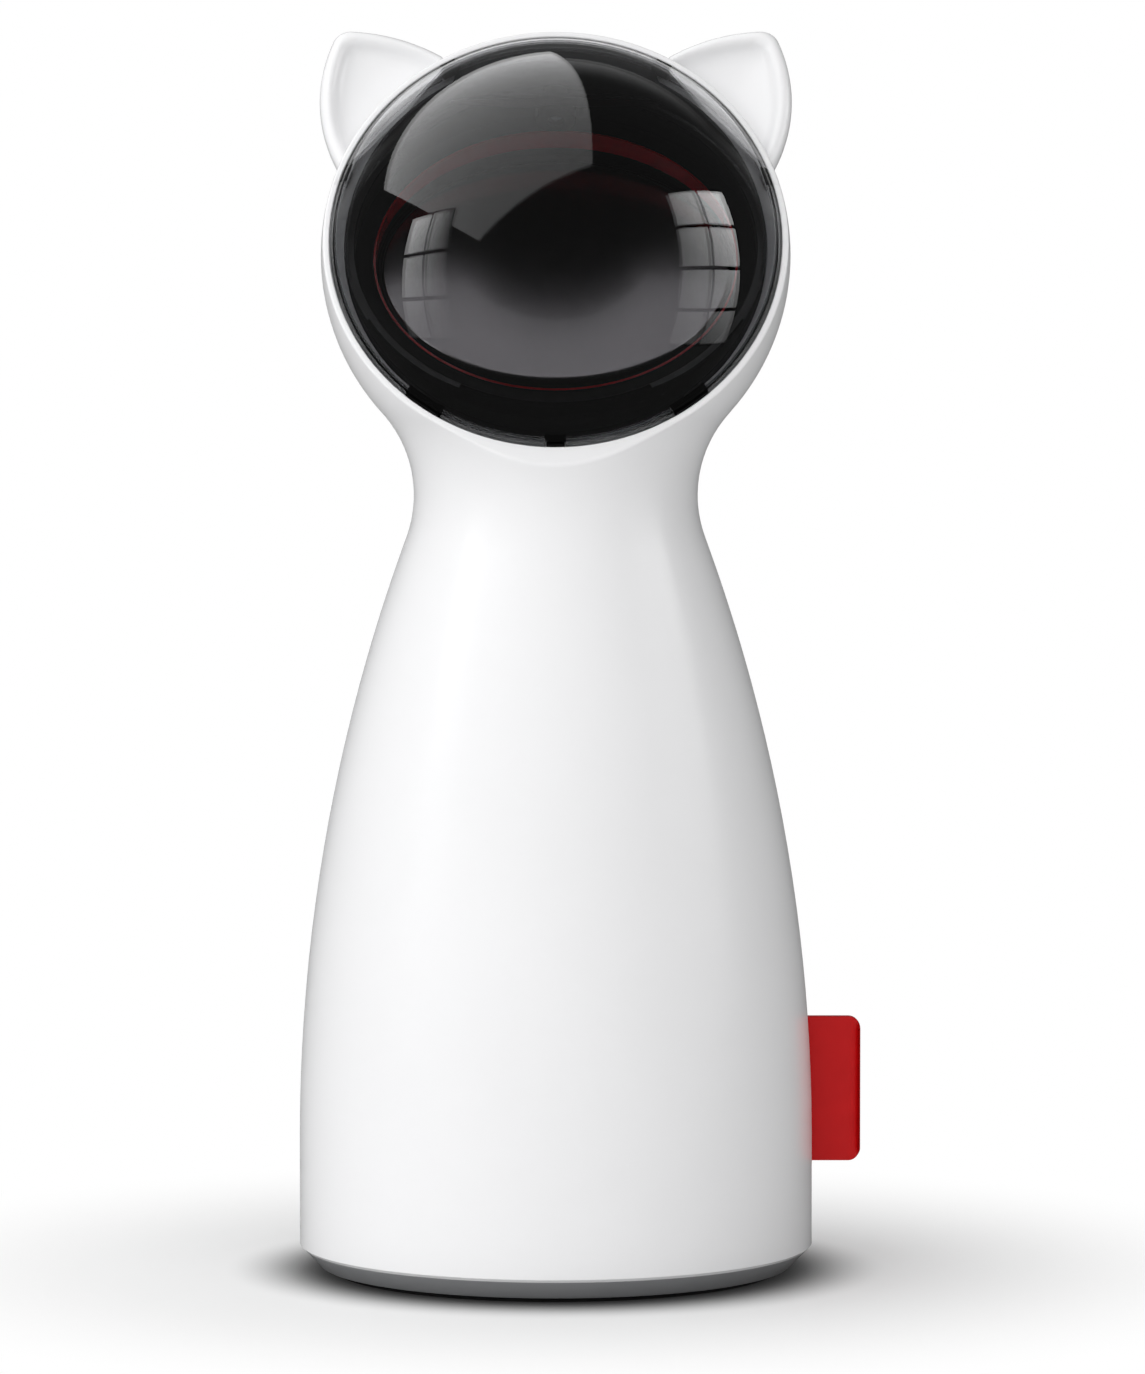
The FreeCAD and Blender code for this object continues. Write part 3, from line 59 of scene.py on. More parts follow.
def facing(tilt, turn=0.0, x=0.0, z=0.0):
    """A place about the head's middle whose own Z leans back from straight ahead by the tilt."""
    lean = Matrix.Translation((0, 0, HEAD_Z * MM)) @ Matrix.Rotation(math.radians(90 - tilt), 4, "X")
    return lean @ Matrix.Rotation(math.radians(turn), 4, "Z") @ Matrix.Translation(Vector((x, 0, z)) * MM)


def toward_back(x=0.0, z=0.0):
    """A place whose own Z points to the toy's back."""
    return Matrix.Translation(Vector((x, 0, z)) * MM) @ Matrix.Rotation(math.radians(-90), 4, "X")


# %% [markdown]
# ## Making and finishing a piece
# Most pieces here are round, so most start as one point that is drawn out into a half section and spun.
# A moulded edge is never sharp, so the section's corners are rounded before it is spun.

# %% Start a piece from a primitive
def begin(name, operator, **settings):
    """A new named piece from one of Blender's primitives."""
    bpy.ops.object.select_all(action="DESELECT")
    operator(**settings)
    piece = bpy.context.object
    piece.name = piece.data.name = name
    return piece


def pick(*pieces):
    """Select these pieces only, and make the first one active."""
    bpy.ops.object.select_all(action="DESELECT")
    for piece in pieces:
        piece.select_set(True)
    bpy.context.view_layer.objects.active = pieces[0]


def edit(piece):
    """Go into edit mode on one piece, with all of it selected."""
    pick(piece)
    bpy.ops.object.mode_set(mode="EDIT")
    bpy.ops.mesh.select_all(action="SELECT")


def choose_edges(piece, wanted):
    """Go into edit mode with the edges selected whose two ends, in mm, pass a test."""
    edit(piece)
    bpy.ops.mesh.select_all(action="DESELECT")
    bpy.ops.object.mode_set(mode="OBJECT")
    for edge in piece.data.edges:
        edge.select = wanted(*(piece.data.vertices[index].co / MM for index in edge.vertices))
    bpy.ops.object.mode_set(mode="EDIT")


def close_up(piece):
    """Merge points that meet and turn all faces outwards."""
    edit(piece)
    bpy.ops.mesh.remove_doubles(threshold=0.0005 * MM)
    bpy.ops.mesh.normals_make_consistent(inside=False)
    bpy.ops.object.mode_set(mode="OBJECT")
    return piece


# %% Draw a half section
CORNER_STEPS = 4


def arc(centre, radius, first, last, count):
    """Points (x, z) along an arc, with its angles in degrees."""
    for step in range(count + 1):
        angle = math.radians(first + (last - first) * step / count)
        yield centre[0] + radius * math.cos(angle), centre[1] + radius * math.sin(angle)


def section(*corners, closed=True):
    """Corner points (x, z). A third number is the radius that rounds that corner."""
    points = []
    for index, corner in enumerate(corners):
        here = Vector(corner[:2])
        if len(corner) < 3:
            points.append(tuple(here))
            continue
        back = (Vector(corners[index - 1][:2]) - here).normalized()
        ahead = (Vector(corners[(index + 1) % len(corners)][:2]) - here).normalized()
        half = back.angle(ahead) / 2
        middle = here + (back + ahead).normalized() * corner[2] / math.sin(half)
        start, end = (here + way * corner[2] / math.tan(half) - middle for way in (back, ahead))
        first = math.degrees(math.atan2(start.y, start.x))
        sweep = (math.degrees(math.atan2(end.y, end.x)) - first + 180) % 360 - 180
        points += arc(middle, corner[2], first, first + sweep, CORNER_STEPS)
    return points + points[:1] if closed else points


# %% Spin it
def turned(name, points, place=Matrix(), steps=160):
    """Spin a half section of points (x, z) in mm round Z, then move it to its place."""
    piece = begin(name, bpy.ops.mesh.primitive_plane_add, size=MM)
    edit(piece)
    bpy.ops.mesh.merge(type="CENTER")
    bpy.ops.mesh.select_all(action="SELECT")
    spots = [Vector((x, 0, z)) * MM for x, z in points]
    bpy.ops.transform.translate(value=spots[0])
    for here, there in zip(spots, spots[1:]):
        bpy.ops.mesh.extrude_vertices_move(TRANSFORM_OT_translate={"value": there - here})
    bpy.ops.mesh.select_all(action="SELECT")
    bpy.ops.mesh.spin(steps=steps, angle=math.tau, center=(0, 0, 0), axis=(0, 0, 1))
    bpy.ops.object.mode_set(mode="OBJECT")
    close_up(piece)
    piece.data.transform(place)
    return piece


# %% [markdown]
# Two shapes on this toy are round but not turned: the white body, which the slanting face cuts off, and the
# bowl, whose rings lean more and more. Both start as a primitive with the right net of faces, a torus or a
# sphere, and each of its rings is then moved to where that ring of the real piece lies.

# %% Move the rings of a primitive
def looped(name, rings, columns):
    """A closed sleeve through rings of points, from a torus. A ring gives a point for a turn in radians."""
    piece = begin(name, bpy.ops.mesh.primitive_torus_add, major_segments=columns, minor_segments=len(rings),
                  major_radius=2, minor_radius=1)
    for vertex in piece.data.vertices:
        x, y, z = vertex.co
        row = round(math.atan2(z, math.hypot(x, y) - 2) / math.tau * len(rings)) % len(rings)
        vertex.co = rings[row](math.atan2(y, x)) * MM
    return close_up(piece)


def lofted(name, rings, columns):
    """A closed skin through rings of points, from a sphere, whose poles are the first and the last ring."""
    piece = begin(name, bpy.ops.mesh.primitive_uv_sphere_add, segments=columns, ring_count=len(rings) - 1,
                  radius=1)
    for vertex in piece.data.vertices:
        x, y, z = vertex.co
        row = round(math.acos(max(-1, min(1, z))) / math.pi * (len(rings) - 1))
        vertex.co = rings[row](math.atan2(y, x)) * MM
    return close_up(piece)


# %% Cut, join, round and finish
def modified(piece, kind, **settings):
    """Add a modifier with its settings and apply it."""
    step = piece.modifiers.new(kind, kind)
    for name, value in settings.items():
        setattr(step, name, value)
    bpy.context.view_layer.objects.active = piece
    bpy.ops.object.modifier_apply(modifier=step.name)
    return piece


def carve(piece, *cutters, operation="DIFFERENCE"):
    """Cut closed meshes out of a piece or, with INTERSECT, keep what it shares with them."""
    for cutter in cutters:
        modified(piece, "BOOLEAN", object=cutter, solver="EXACT", operation=operation)
    return piece


def drop(*helpers):
    """Remove what was only there to cut with."""
    for helper in helpers:
        bpy.data.objects.remove(helper)


def joined(piece, *others):
    """Join other meshes into a piece."""
    pick(piece, *others)
    bpy.ops.object.join()
    return piece


def copied(piece, name):
    """A copy with its own mesh."""
    twin = piece.copy()
    twin.data = piece.data.copy()
    twin.name = twin.data.name = name
    bpy.context.scene.collection.objects.link(twin)
    return twin


def eased(piece, width, angle=35, segments=2):
    """Round the edges that are sharper than an angle."""
    return modified(piece, "BEVEL", width=width * MM, segments=segments, angle_limit=math.radians(angle))


def finished(piece, body, material, slot, *replaced, angle=40):
    """Shade a piece, give it its material, hang it on its body and hide the solids that it replaces."""
    pick(piece)
    bpy.ops.object.shade_smooth_by_angle(angle=math.radians(angle))
    modified(piece, "WEIGHTED_NORMAL", keep_sharp=True)
    piece.data.materials.clear()
    piece.data.materials.append(material)
    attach(piece, body)
    if replaced:
        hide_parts(*replaced)
    print(f"{piece.name}: {len(piece.data.polygons)} faces on {body}")
    return piece


# %% [markdown]
# Plain turned and milled parts are right as the solids have them. Such a solid arrives as loose triangles, so
# its copy is merged, its flat faces are made whole again, and its edges get a fine break.

# %% Dress a copy of a solid
def dressed(name, node, edge):
    """A clean copy of a CAD node, with its edges eased by a width in mm."""
    twin = copied(nodes[node], name)
    for mark in list(twin.keys()):
        del twin[mark]
    twin.parent = None
    edit(twin)
    bpy.ops.mesh.remove_doubles(threshold=0.001 * MM)
    bpy.ops.mesh.dissolve_limited(angle_limit=math.radians(0.5))
    bpy.ops.object.mode_set(mode="OBJECT")
    return eased(twin, edge, angle=40)


# %% [markdown]
# ## Finishes
# Each finish is mixed from nodes and starts from what the real one is. Two helpers serve all of them: one
# turns a hex colour into Blender's linear numbers, and one adds a node with its settings and links. Three
# more each make a pattern: patches of tone, streaks of roughness and a raised grain.

# %% Colour and nodes
def linear(code):
    """A colour written as sRGB hex, in Blender's linear numbers."""
    values = [int(code[at:at + 2], 16) / 255 for at in (1, 3, 5)]
    return [v / 12.92 if v <= 0.04045 else ((v + 0.055) / 1.055) ** 2.4 for v in values] + [1.0]


def add(tree, kind, links=None, values=None, **settings):
    """Add a node: settings are its own, links come from other nodes' outputs, values are plain numbers."""
    made = tree.nodes.new(kind)
    for name, value in settings.items():
        setattr(made, name, value)
    for name, value in (values or {}).items():
        made.inputs[name].default_value = value
    for name, socket in (links or {}).items():
        tree.links.new(socket, made.inputs[name])
    return made


def finish_of(name, colour, values=None):
    """A new material with one Principled shader, and the place on the object that its patterns read."""
    made = bpy.data.materials.new(name)
    made.use_nodes = True
    tree = made.node_tree
    shader = tree.nodes["Principled BSDF"]
    shader.inputs["Base Color"].default_value = linear(colour)
    for key, value in (values or {}).items():
        shader.inputs[key].default_value = value
    place = add(tree, "ShaderNodeTexCoord").outputs["Object"]
    return made, tree, shader, place


def mottle(tree, shader, place, size, dark, light):
    """Vary the colour between two tones in patches of a size in mm."""
    cloud = add(tree, "ShaderNodeTexNoise", {"Vector": place}, {"Scale": 1 / (size * MM), "Detail": 2.0})
    tone = add(tree, "ShaderNodeMix", {"Factor": cloud.outputs["Fac"]}, data_type="RGBA")
    tone.inputs["A"].default_value, tone.inputs["B"].default_value = linear(dark), linear(light)
    tree.links.new(tone.outputs["Result"], shader.inputs["Base Color"])


def smear(tree, shader, place, size, low, high, stretch=(1, 1, 1)):
    """Vary the roughness between two values in streaks of a size in mm."""
    along = add(tree, "ShaderNodeMapping", {"Vector": place}, {"Scale": stretch})
    cloud = add(tree, "ShaderNodeTexNoise", {"Vector": along.outputs["Vector"]},
                {"Scale": 1 / (size * MM), "Detail": 3.0})
    span = add(tree, "ShaderNodeMapRange", {"Value": cloud.outputs["Fac"]}, {"To Min": low, "To Max": high})
    tree.links.new(span.outputs["Result"], shader.inputs["Roughness"])


def texture(tree, shader, place, size, height):
    """Raise a fine grain of a size in mm, as high as a height in mm."""
    grain = add(tree, "ShaderNodeTexNoise", {"Vector": place}, {"Scale": 1 / (size * MM), "Detail": 2.0})
    bump = add(tree, "ShaderNodeBump", {"Height": grain.outputs["Fac"]},
               {"Distance": height * MM, "Strength": 1.0})
    tree.links.new(bump.outputs["Normal"], shader.inputs["Normal"])


def finish(name, colour, values, tones=None, rough=None, grain=None):
    """A new material. Its colour, its roughness and its skin vary where the numbers for them are given."""
    made, tree, shader, place = finish_of(name, colour, values)
    for vary, numbers in ((mottle, tones), (smear, rough), (texture, grain)):
        if numbers:
            vary(tree, shader, place, *numbers)
    return made


# %% [markdown]
# **Gloss moulded ABS.** The shells, the button and the ears come from a polished steel mould, so they shine
# like lacquer, with a faint waviness of the cooled skin about 6 mm from crest to crest.

# %% White gloss ABS
ABS_IOR = 1.53
gloss_abs = finish("gloss_white_abs", "#F2F2F3", {"IOR": ABS_IOR}, tones=(30, "#F0F0F1", "#F4F4F5"),
                   rough=(9, 0.2, 0.27), grain=(6, 0.0015))

# %% [markdown]
# ** Grey and black ABS.** The base and the inner mouldings come from a mould with a spark-eroded grain of
# about 0.1 mm, drawn here at 0.35 mm so that it shows. The bowl's inside is black ABS darkened to almost
# no colour as painted shade, for it lies in deep shade behind the dome. The bezel round it is left satin. The
# bowl's inside is flocked and swallows nearly all
# light, so that only the laser's dot leaves the toy. The bezel round it is left satin.

# %% Grey and black ABS
satin_grey = finish("satin_grey_abs", "#929395", {"IOR": ABS_IOR}, tones=(12, "#8F9092", "#969799"),
                    rough=(5, 0.26, 0.34), grain=(0.35, 0.004))
# This black is taken down to almost nothing as painted shade, for the bowl's inside and what stands in it.
black_with_painted_shade = finish("black_abs_with_painted_shade", "#020202", {"IOR": ABS_IOR, "Specular IOR Level": 0.08},
                    tones=(8, "#020202", "#030303"), rough=(4, 0.5, 0.6), grain=(0.35, 0.004))
bezel_black = finish("satin_black_abs", "#0C0C0D", {"IOR": ABS_IOR}, tones=(8, "#0A0A0B", "#0F0F10"),
                     rough=(4, 0.3, 0.38), grain=(6, 0.001))
bracket_black = finish("moulded_black_abs", "#161617", {"IOR": ABS_IOR}, tones=(5, "#131314", "#1B1B1C"),
                       rough=(3, 0.45, 0.6), grain=(0.35, 0.006))
holder_grey = finish("moulded_dark_grey_abs", "#4A4B4D", {"IOR": ABS_IOR}, tones=(8, "#464749", "#4F5052"),
                     rough=(3, 0.45, 0.6), grain=(0.35, 0.006))

# %% [markdown]
# **Smoked polycarbonate.** The dome is one moulding with a trace of grey dye in it, polished on both sides.
# Light crosses it twice on its way to the eye, so the tint is kept faint.

# %% Smoked polycarbonate
smoked_clear = finish("smoked_polycarbonate", "#E4E5E7", {"IOR": 1.585, "Transmission Weight": 1.0},
                      rough=(20, 0.0, 0.012))

# %% [markdown]
# **Red ABS and red silicone.** The ring is glossy, as deep as sealing wax. The tag is soft silicone, silky
# and less shiny than the hard plastics.

# %% Reds
ring_red = finish("gloss_red_abs", "#8E0D16", {"IOR": ABS_IOR}, tones=(6, "#880C15", "#940E17"),
                  rough=(4, 0.18, 0.26))
tag_red = finish("red_silicone_rubber", "#C20A0E", {"IOR": 1.41, "Specular IOR Level": 0.3},
                 tones=(5, "#BC090D", "#C80B0F"), rough=(2.5, 0.38, 0.5), grain=(0.4, 0.004))

# %% [markdown]
# **Mirror, lens and light guide.** The mirror's front is a film of aluminium, a little hazy, under a smooth
# lacquer that adds a faint sharp image. The laser's lens is plain clear glass. The ring round the button is
# milky, so that its light spreads.

# %% Mirror, lens and light guide
silvered = finish("lacquered_aluminium", "#8F8B8D",
                  {"Metallic": 1.0, "Coat Weight": 0.4, "Coat Roughness": 0.0}, rough=(14, 0.24, 0.28))
lens_clear = finish("lens_glass", "#DCE6F0", {"IOR": 1.517, "Transmission Weight": 1.0},
                    rough=(1, 0.0, 0.02))
guide_milky = finish("milky_light_guide", "#E6EAEE",
                     {"IOR": 1.49, "Transmission Weight": 0.35, "Subsurface Weight": 0.3},
                     tones=(3, "#E2E6EB", "#EAEEF1"), rough=(2, 0.3, 0.42))

# %% [markdown]
# **Rubber and small mouldings.** Rubber is nearly black and dull. Acetal, which gears are made of, is waxy
# and off-white. Nylon and moulded epoxy are dull and grainy.

# %% Rubber and small mouldings
foot_rubber = finish("moulded_rubber", "#1A1A1A", {"IOR": 1.52}, tones=(3, "#171717", "#202020"),
                     rough=(2, 0.7, 0.85), grain=(0.4, 0.01))
gear_acetal = finish("moulded_acetal", "#E9E6DA", {"IOR": 1.48, "Subsurface Weight": 0.1},
                     tones=(3, "#E6E2D5", "#EDEADF"), rough=(2, 0.3, 0.4))
black_nylon = finish("moulded_nylon", "#18181A", {"IOR": 1.53}, tones=(2, "#151517", "#1D1D1F"),
                     rough=(1.5, 0.5, 0.65))
black_epoxy = finish("moulded_epoxy", "#131313", {"IOR": 1.55}, tones=(1.5, "#101010", "#191919"),
                     rough=(1, 0.55, 0.75), grain=(0.3, 0.008))

# %% [markdown]
# **Metals.** Turned steel and brass keep fine rings from the tool, and drawn and plated sheet keeps a soft
# grain. The patches and streaks are drawn coarser than they are, so that they show. Each line below holds a
# metal's light and dark tone, its lowest and highest roughness and the way its streaks run.

# %% Metals
TONE_SIZE, STREAK_SIZE = 2, 0.5
for_metals = {
    "blackened_brass": ("#211D17", "#191611", 0.4, 0.5, (1, 1, 6)),
    "turned_brass": ("#C9A45C", "#B8924A", 0.22, 0.34, (1, 1, 6)),
    "ground_steel": ("#C2C3C6", "#B3B4B8", 0.15, 0.25, (6, 1, 1)),
    "drawn_steel": ("#B9BABD", "#AAABAE", 0.25, 0.38, (1, 1, 0.2)),
    "zinc_plated_steel": ("#B7BABD", "#A5A8AD", 0.25, 0.4, (1, 1, 1)),
    "nickel_plated_steel": ("#CFCDC6", "#BFBCB3", 0.2, 0.32, (1, 4, 1)),
}
metals = {title: finish(title, light, {"Metallic": 1.0}, tones=(TONE_SIZE, dark, light),
                        rough=(STREAK_SIZE, low, high, stretch))
          for title, (light, dark, low, high, stretch) in for_metals.items()}

# %% [markdown]
# **Board and batteries.** The board is glass epoxy under green lacquer, whose copper tracks show as slightly
# lighter lines. Each cell wears a plain printed film, dark with a pale band at its top.

# %% Board lacquer
TRACK_GAP = 8
board_green, tree, shader, place = finish_of("solder_mask_green", "#14572F", {"IOR": 1.5, "Roughness": 0.3})
upright = add(tree, "ShaderNodeMapping", {"Vector": place}, {"Rotation": (math.radians(90), 0, 0)})
track = add(tree, "ShaderNodeTexBrick", {"Vector": upright.outputs["Vector"]},
            {"Scale": 1 / (TRACK_GAP * MM), "Mortar Size": 0.03, "Color1": linear("#14572F"),
             "Color2": linear("#124F2B"), "Mortar": linear("#2B7A47")})
tree.links.new(track.outputs["Color"], shader.inputs["Base Color"])
smear(tree, shader, place, 4, 0.25, 0.35)

# %% Battery film
BAND_Z = 46
cell_film, tree, shader, place = finish_of("printed_film", "#2E4A5C", {"IOR": 1.5, "Metallic": 0.3})
height = add(tree, "ShaderNodeSeparateXYZ", {"Vector": place}).outputs["Z"]
band = add(tree, "ShaderNodeMath", {0: height}, {1: BAND_Z * MM}, operation="GREATER_THAN")
tone = add(tree, "ShaderNodeMix", {"Factor": band.outputs[0]}, data_type="RGBA")
tone.inputs["A"].default_value, tone.inputs["B"].default_value = linear("#2E4A5C"), linear("#C8CDD0")
tree.links.new(tone.outputs["Result"], shader.inputs["Base Color"])
smear(tree, shader, place, 5, 0.22, 0.32)
print(f"{len(bpy.data.materials)} materials")

# %% [markdown]
# ## The white body
# The side of the body is four curves that flow into each other: a short straight foot, a long slow curve, the
# neck's hollow and the round head. A point on it is found from how far up the side it is.

# %% Sizes of the body, in mm
BODY_R, STRAIGHT_TOP, BODY_CURVE = 43.0, 22.0, 294.0
NECK_R, HEAD_R, WALL = 23.7, 39.15, 2.0
SHELL_BOTTOM, EDGE_CHAMFER = 4.0, 0.5
RIM_OFFSET, RIM_ROUND, REBATE_R, REBATE_DEPTH = 5.7, 0.45, 37.7, 3.0


def neck_arc():
    """Height and radius of the neck's arc, which touches the long curve and the head."""
    span_head, const_head = 2 * (HEAD_R - NECK_R), NECK_R ** 2 - HEAD_R ** 2
    span_body = 2 * (BODY_R - NECK_R)
    const_body = (NECK_R + BODY_CURVE - BODY_R) ** 2 - BODY_CURVE ** 2
    a = 1 / span_head - 1 / span_body
    b = -2 * HEAD_Z / span_head + 2 * STRAIGHT_TOP / span_body
    c = (HEAD_Z ** 2 + const_head) / span_head - (STRAIGHT_TOP ** 2 + const_body) / span_body
    height = (-b - math.sqrt(b ** 2 - 4 * a * c)) / (2 * a)
    return height, ((HEAD_Z - height) ** 2 + const_head) / span_head


NECK_Z, NECK_CURVE = neck_arc()
print(f"the neck is narrowest at {NECK_Z:.1f} mm, with an arc of {NECK_CURVE:.1f} mm")

# %% A point of the side
LOW = Vector((BODY_R - BODY_CURVE, STRAIGHT_TOP))
NECK = Vector((NECK_R + NECK_CURVE, NECK_Z))
HEAD = Vector((0, HEAD_Z))
LEAN = math.atan2(*(NECK - LOW).yx)
TURN = math.atan2(*(HEAD - NECK).yx)


def side(way, inset=0.0):
    """Radius and height of the point that lies so many mm up the side from the end of the straight foot."""
    if way < 0:
        return BODY_R - inset, STRAIGHT_TOP + way
    for centre, radius, first, last in ((LOW, BODY_CURVE - inset, 0, LEAN),
                                        (NECK, NECK_CURVE + inset, LEAN + math.pi, TURN),
                                        (HEAD, HEAD_R - inset, TURN - math.pi, math.pi / 2)):
        length = abs(last - first) * radius
        if way <= length or centre is HEAD:
            angle = first + math.copysign(way / radius, last - first)
            return centre.x + radius * math.cos(angle), centre.y + radius * math.sin(angle)
        way -= length


def on_side(way, turn, inset=0.0):
    """The point so many mm up the side, turned about the body's axis."""
    out, height = side(way, inset)
    return Vector((out * math.cos(turn), out * math.sin(turn), height))


# %% Where the face's plane cuts the side
INTO_FACE = facing(RIM_TILT).inverted()
SIDE_START, BELOW_FACE, SIDE_END, HALVINGS = -20.0, 60.0, 240.0, 40


def face_depth(point):
    """How far a point in mm lies in front of the head's middle, along the face's axis."""
    return (INTO_FACE @ (point * MM)).z / MM


def halved(low, high, too_low):
    """The value between two others at which a test changes, found by halving."""
    for _ in range(HALVINGS):
        middle = (low + high) / 2
        low, high = (middle, high) if too_low(middle) else (low, middle)
    return low


def reach(turn, offset, inset=0.0):
    """How far up the side the plane at an offset along the face's axis cuts it."""
    return halved(BELOW_FACE, SIDE_END, lambda way: face_depth(on_side(way, turn, inset)) < offset)


def way_up(height):
    """How far up the side a height in mm lies."""
    return halved(SIDE_START, SIDE_END, lambda way: side(way)[1] < height)


print(f"the rim is cut {reach(-math.pi / 2, RIM_OFFSET):.0f} mm up the front and "
      f"{reach(math.pi / 2, RIM_OFFSET):.0f} mm up the back")

# %% [markdown]
# The skin is one sleeve. Its rings climb the outside, roll over the rim, drop down the step that holds the
# dome, and go back down inside the wall. Below the shoulders each ring is level. Above them the rings lean
# more and more until the last one lies in the slanting plane of the face, so that the rim is a clean edge.

# %% Rings of the body
SHOULDER = 78.0
OUTSIDE_ROWS, HEAD_ROWS, INSIDE_ROWS, COLUMNS = 20, 60, 40, 192
CURVE_START = SHELL_BOTTOM + EDGE_CHAMFER - STRAIGHT_TOP
LEDGE, SHELF_R, SHELF_WALL, STEP_ROUND = RIM_OFFSET - REBATE_DEPTH, 34.7, 1.2, 0.15


def level_ring(way, inset=0.0):
    """A level ring so many mm up the side."""
    return lambda turn: on_side(way, turn, inset)


def leaning_ring(share, offset, inset=0.0):
    """A ring on the way from the shoulder to the face's plane."""
    return lambda turn: on_side(SHOULDER + (reach(turn, offset, inset) - SHOULDER) * share, turn, inset)


def rim_ring(share):
    """Rounds the rim's outer edge: a curve from the side, by the sharp corner, to the flat rim."""
    def point(turn):
        below = on_side(reach(turn, RIM_OFFSET - RIM_ROUND), turn)
        corner = on_side(reach(turn, RIM_OFFSET), turn)
        local = INTO_FACE @ (corner * MM)
        inward = Vector((local.x, local.y, 0)).normalized() * RIM_ROUND * MM
        flat = (facing(RIM_TILT) @ (local - inward)) / MM
        return below * (1 - share) ** 2 + corner * 2 * share * (1 - share) + flat * share ** 2
    return point


def face_ring(radius, offset):
    """A true circle in the face's frame, joined to the side's turn."""
    def point(turn):
        local = INTO_FACE @ (on_side(reach(turn, RIM_OFFSET), turn) * MM)
        spoke = Vector((local.x, local.y, 0)).normalized() * radius
        return (facing(RIM_TILT) @ (Vector((spoke.x, spoke.y, offset)) * MM)) / MM
    return point


rings = [lambda turn: Vector((math.cos(turn), math.sin(turn), 0)) * (BODY_R - EDGE_CHAMFER)
         + Vector((0, 0, SHELL_BOTTOM))]
rings += [level_ring(CURVE_START + (SHOULDER - CURVE_START) * row / OUTSIDE_ROWS)
          for row in range(OUTSIDE_ROWS)]
rings += [leaning_ring(row / HEAD_ROWS, RIM_OFFSET - RIM_ROUND) for row in range(HEAD_ROWS)]
rings += [rim_ring(share / 4) for share in range(5)]
rings += [face_ring(radius, offset) for radius, offset in (
    (REBATE_R + STEP_ROUND, RIM_OFFSET), (REBATE_R, RIM_OFFSET - STEP_ROUND), (REBATE_R, LEDGE),
    (SHELF_R, LEDGE), (SHELF_R, LEDGE - SHELF_WALL))]
rings += [leaning_ring(1 - row / INSIDE_ROWS, LEDGE - SHELF_WALL, WALL) for row in range(INSIDE_ROWS)]
rings += [level_ring(SHOULDER + (SHELL_BOTTOM - STRAIGHT_TOP - SHOULDER) * row / INSIDE_ROWS, WALL)
          for row in range(INSIDE_ROWS + 1)]
body_skin = looped("body_skin", rings, COLUMNS)
print(f"body skin: {len(body_skin.data.polygons)} faces")

# %% [markdown]
# The body is two shells, screwed together at a plane through its middle. Bisecting a copy twice gives them,
# and a fine bevel along the cut leaves the hairline that shows where two mouldings meet.

# %% Part the shells
SEAM_EDGE, BELOW_RIM, NEAR_SKIN = 0.2, 0.6, 0.3


def on_seam(spot):
    """Whether a point in mm lies on the outer edge of the cut, below the rim."""
    return (abs(spot.y) < 0.001 and face_depth(spot) < RIM_OFFSET - BELOW_RIM
            and abs(spot.x) > side(way_up(spot.z))[0] - NEAR_SKIN)


def half_of(name, way):
    """The half of the skin toward the front, where the way is -1, or toward the back, where it is 1."""
    piece = copied(body_skin, name)
    edit(piece)
    bpy.ops.mesh.bisect(plane_co=(0, 0, 0), plane_no=(0, way, 0), use_fill=True, clear_inner=True)
    bpy.ops.object.mode_set(mode="OBJECT")
    choose_edges(piece, lambda one, other: on_seam(one) and on_seam(other))
    bpy.ops.mesh.bevel(offset=SEAM_EDGE * MM, segments=2, affect="EDGES")
    bpy.ops.object.mode_set(mode="OBJECT")
    return piece


front_shell = half_of("front_shell_skin", -1)
rear_shell = half_of("rear_shell_skin", 1)
drop(body_skin)

# %% [markdown]
# ## Ears
# Each ear is part of the rear shell: a three-cornered cup with a thick rolled lip, a shallow hollow in front
# and a round back. Its skin runs from the middle of the hollow, over the lip, to the middle of the back.

# %% Outlines of an ear, up the face's plane
EAR_FRONT, EAR_DEPTH = 3.5, 9.5
EAR_MIDDLE = Vector((26.5, 25.5))


def bow(start, end, radius, count):
    """Points on an arc that bulges to the right of the way from start to end."""
    start, end = Vector(start), Vector(end)
    chord = end - start
    across = Vector((-chord.y, chord.x)).normalized()
    centre = (start + end) / 2 + across * math.sqrt(radius ** 2 - chord.length ** 2 / 4)
    first = math.atan2(*(start - centre).yx)
    sweep = (math.atan2(*(end - centre).yx) - first) % math.tau
    angles = [first + sweep * step / count for step in range(count)]
    return [centre + Vector((math.cos(angle), math.sin(angle))) * radius for angle in angles]


def outline(*corners):
    """A closed outline through corners (x, y), each with the radius and the number of points of the arc that
    runs from it to the next."""
    points = []
    for (x, y, radius, count), following in zip(corners, corners[1:] + corners[:1]):
        points += bow((x, y), following[:2], radius, count)
    return points


EAR_OUTER = outline((34.6, 12.0, 27.6, 20), (37.34, 38.56, 3.0, 10), (34.4, 40.4, 32.0, 20),
                    (19.0, 35.6, 60, 6), (15.2, 28.5, 200, 10), (27.7, 9.6, 60, 6))
EAR_INNER = outline((31.6, 12.5, 26.5, 20), (35.11, 35.52, 2.4, 10), (32.6, 37.2, 34.0, 20),
                    (20.2, 33.6, 60, 6), (18.2, 27.5, 200, 10), (26.7, 12.6, 60, 6))


def ear_ring(middle_share, inner_share, depth, side_sign):
    """A ring between the ear's middle, inner and outer outlines, at a depth behind its front."""
    def point(turn):
        index = round(turn / math.tau * len(EAR_OUTER)) % len(EAR_OUTER)
        spot = EAR_OUTER[index].lerp(EAR_INNER[index], inner_share).lerp(EAR_MIDDLE, middle_share)
        place = Vector((spot.x * side_sign, spot.y, EAR_FRONT - depth))
        return (facing(RIM_TILT) @ (place * MM)) / MM
    return point


# %% [markdown]
# The rows below lead over the lip: how near each ring is to the ear's middle, how near it is to the inner
# outline, and how deep it lies. The rows of the round back follow a quarter of an ellipse.

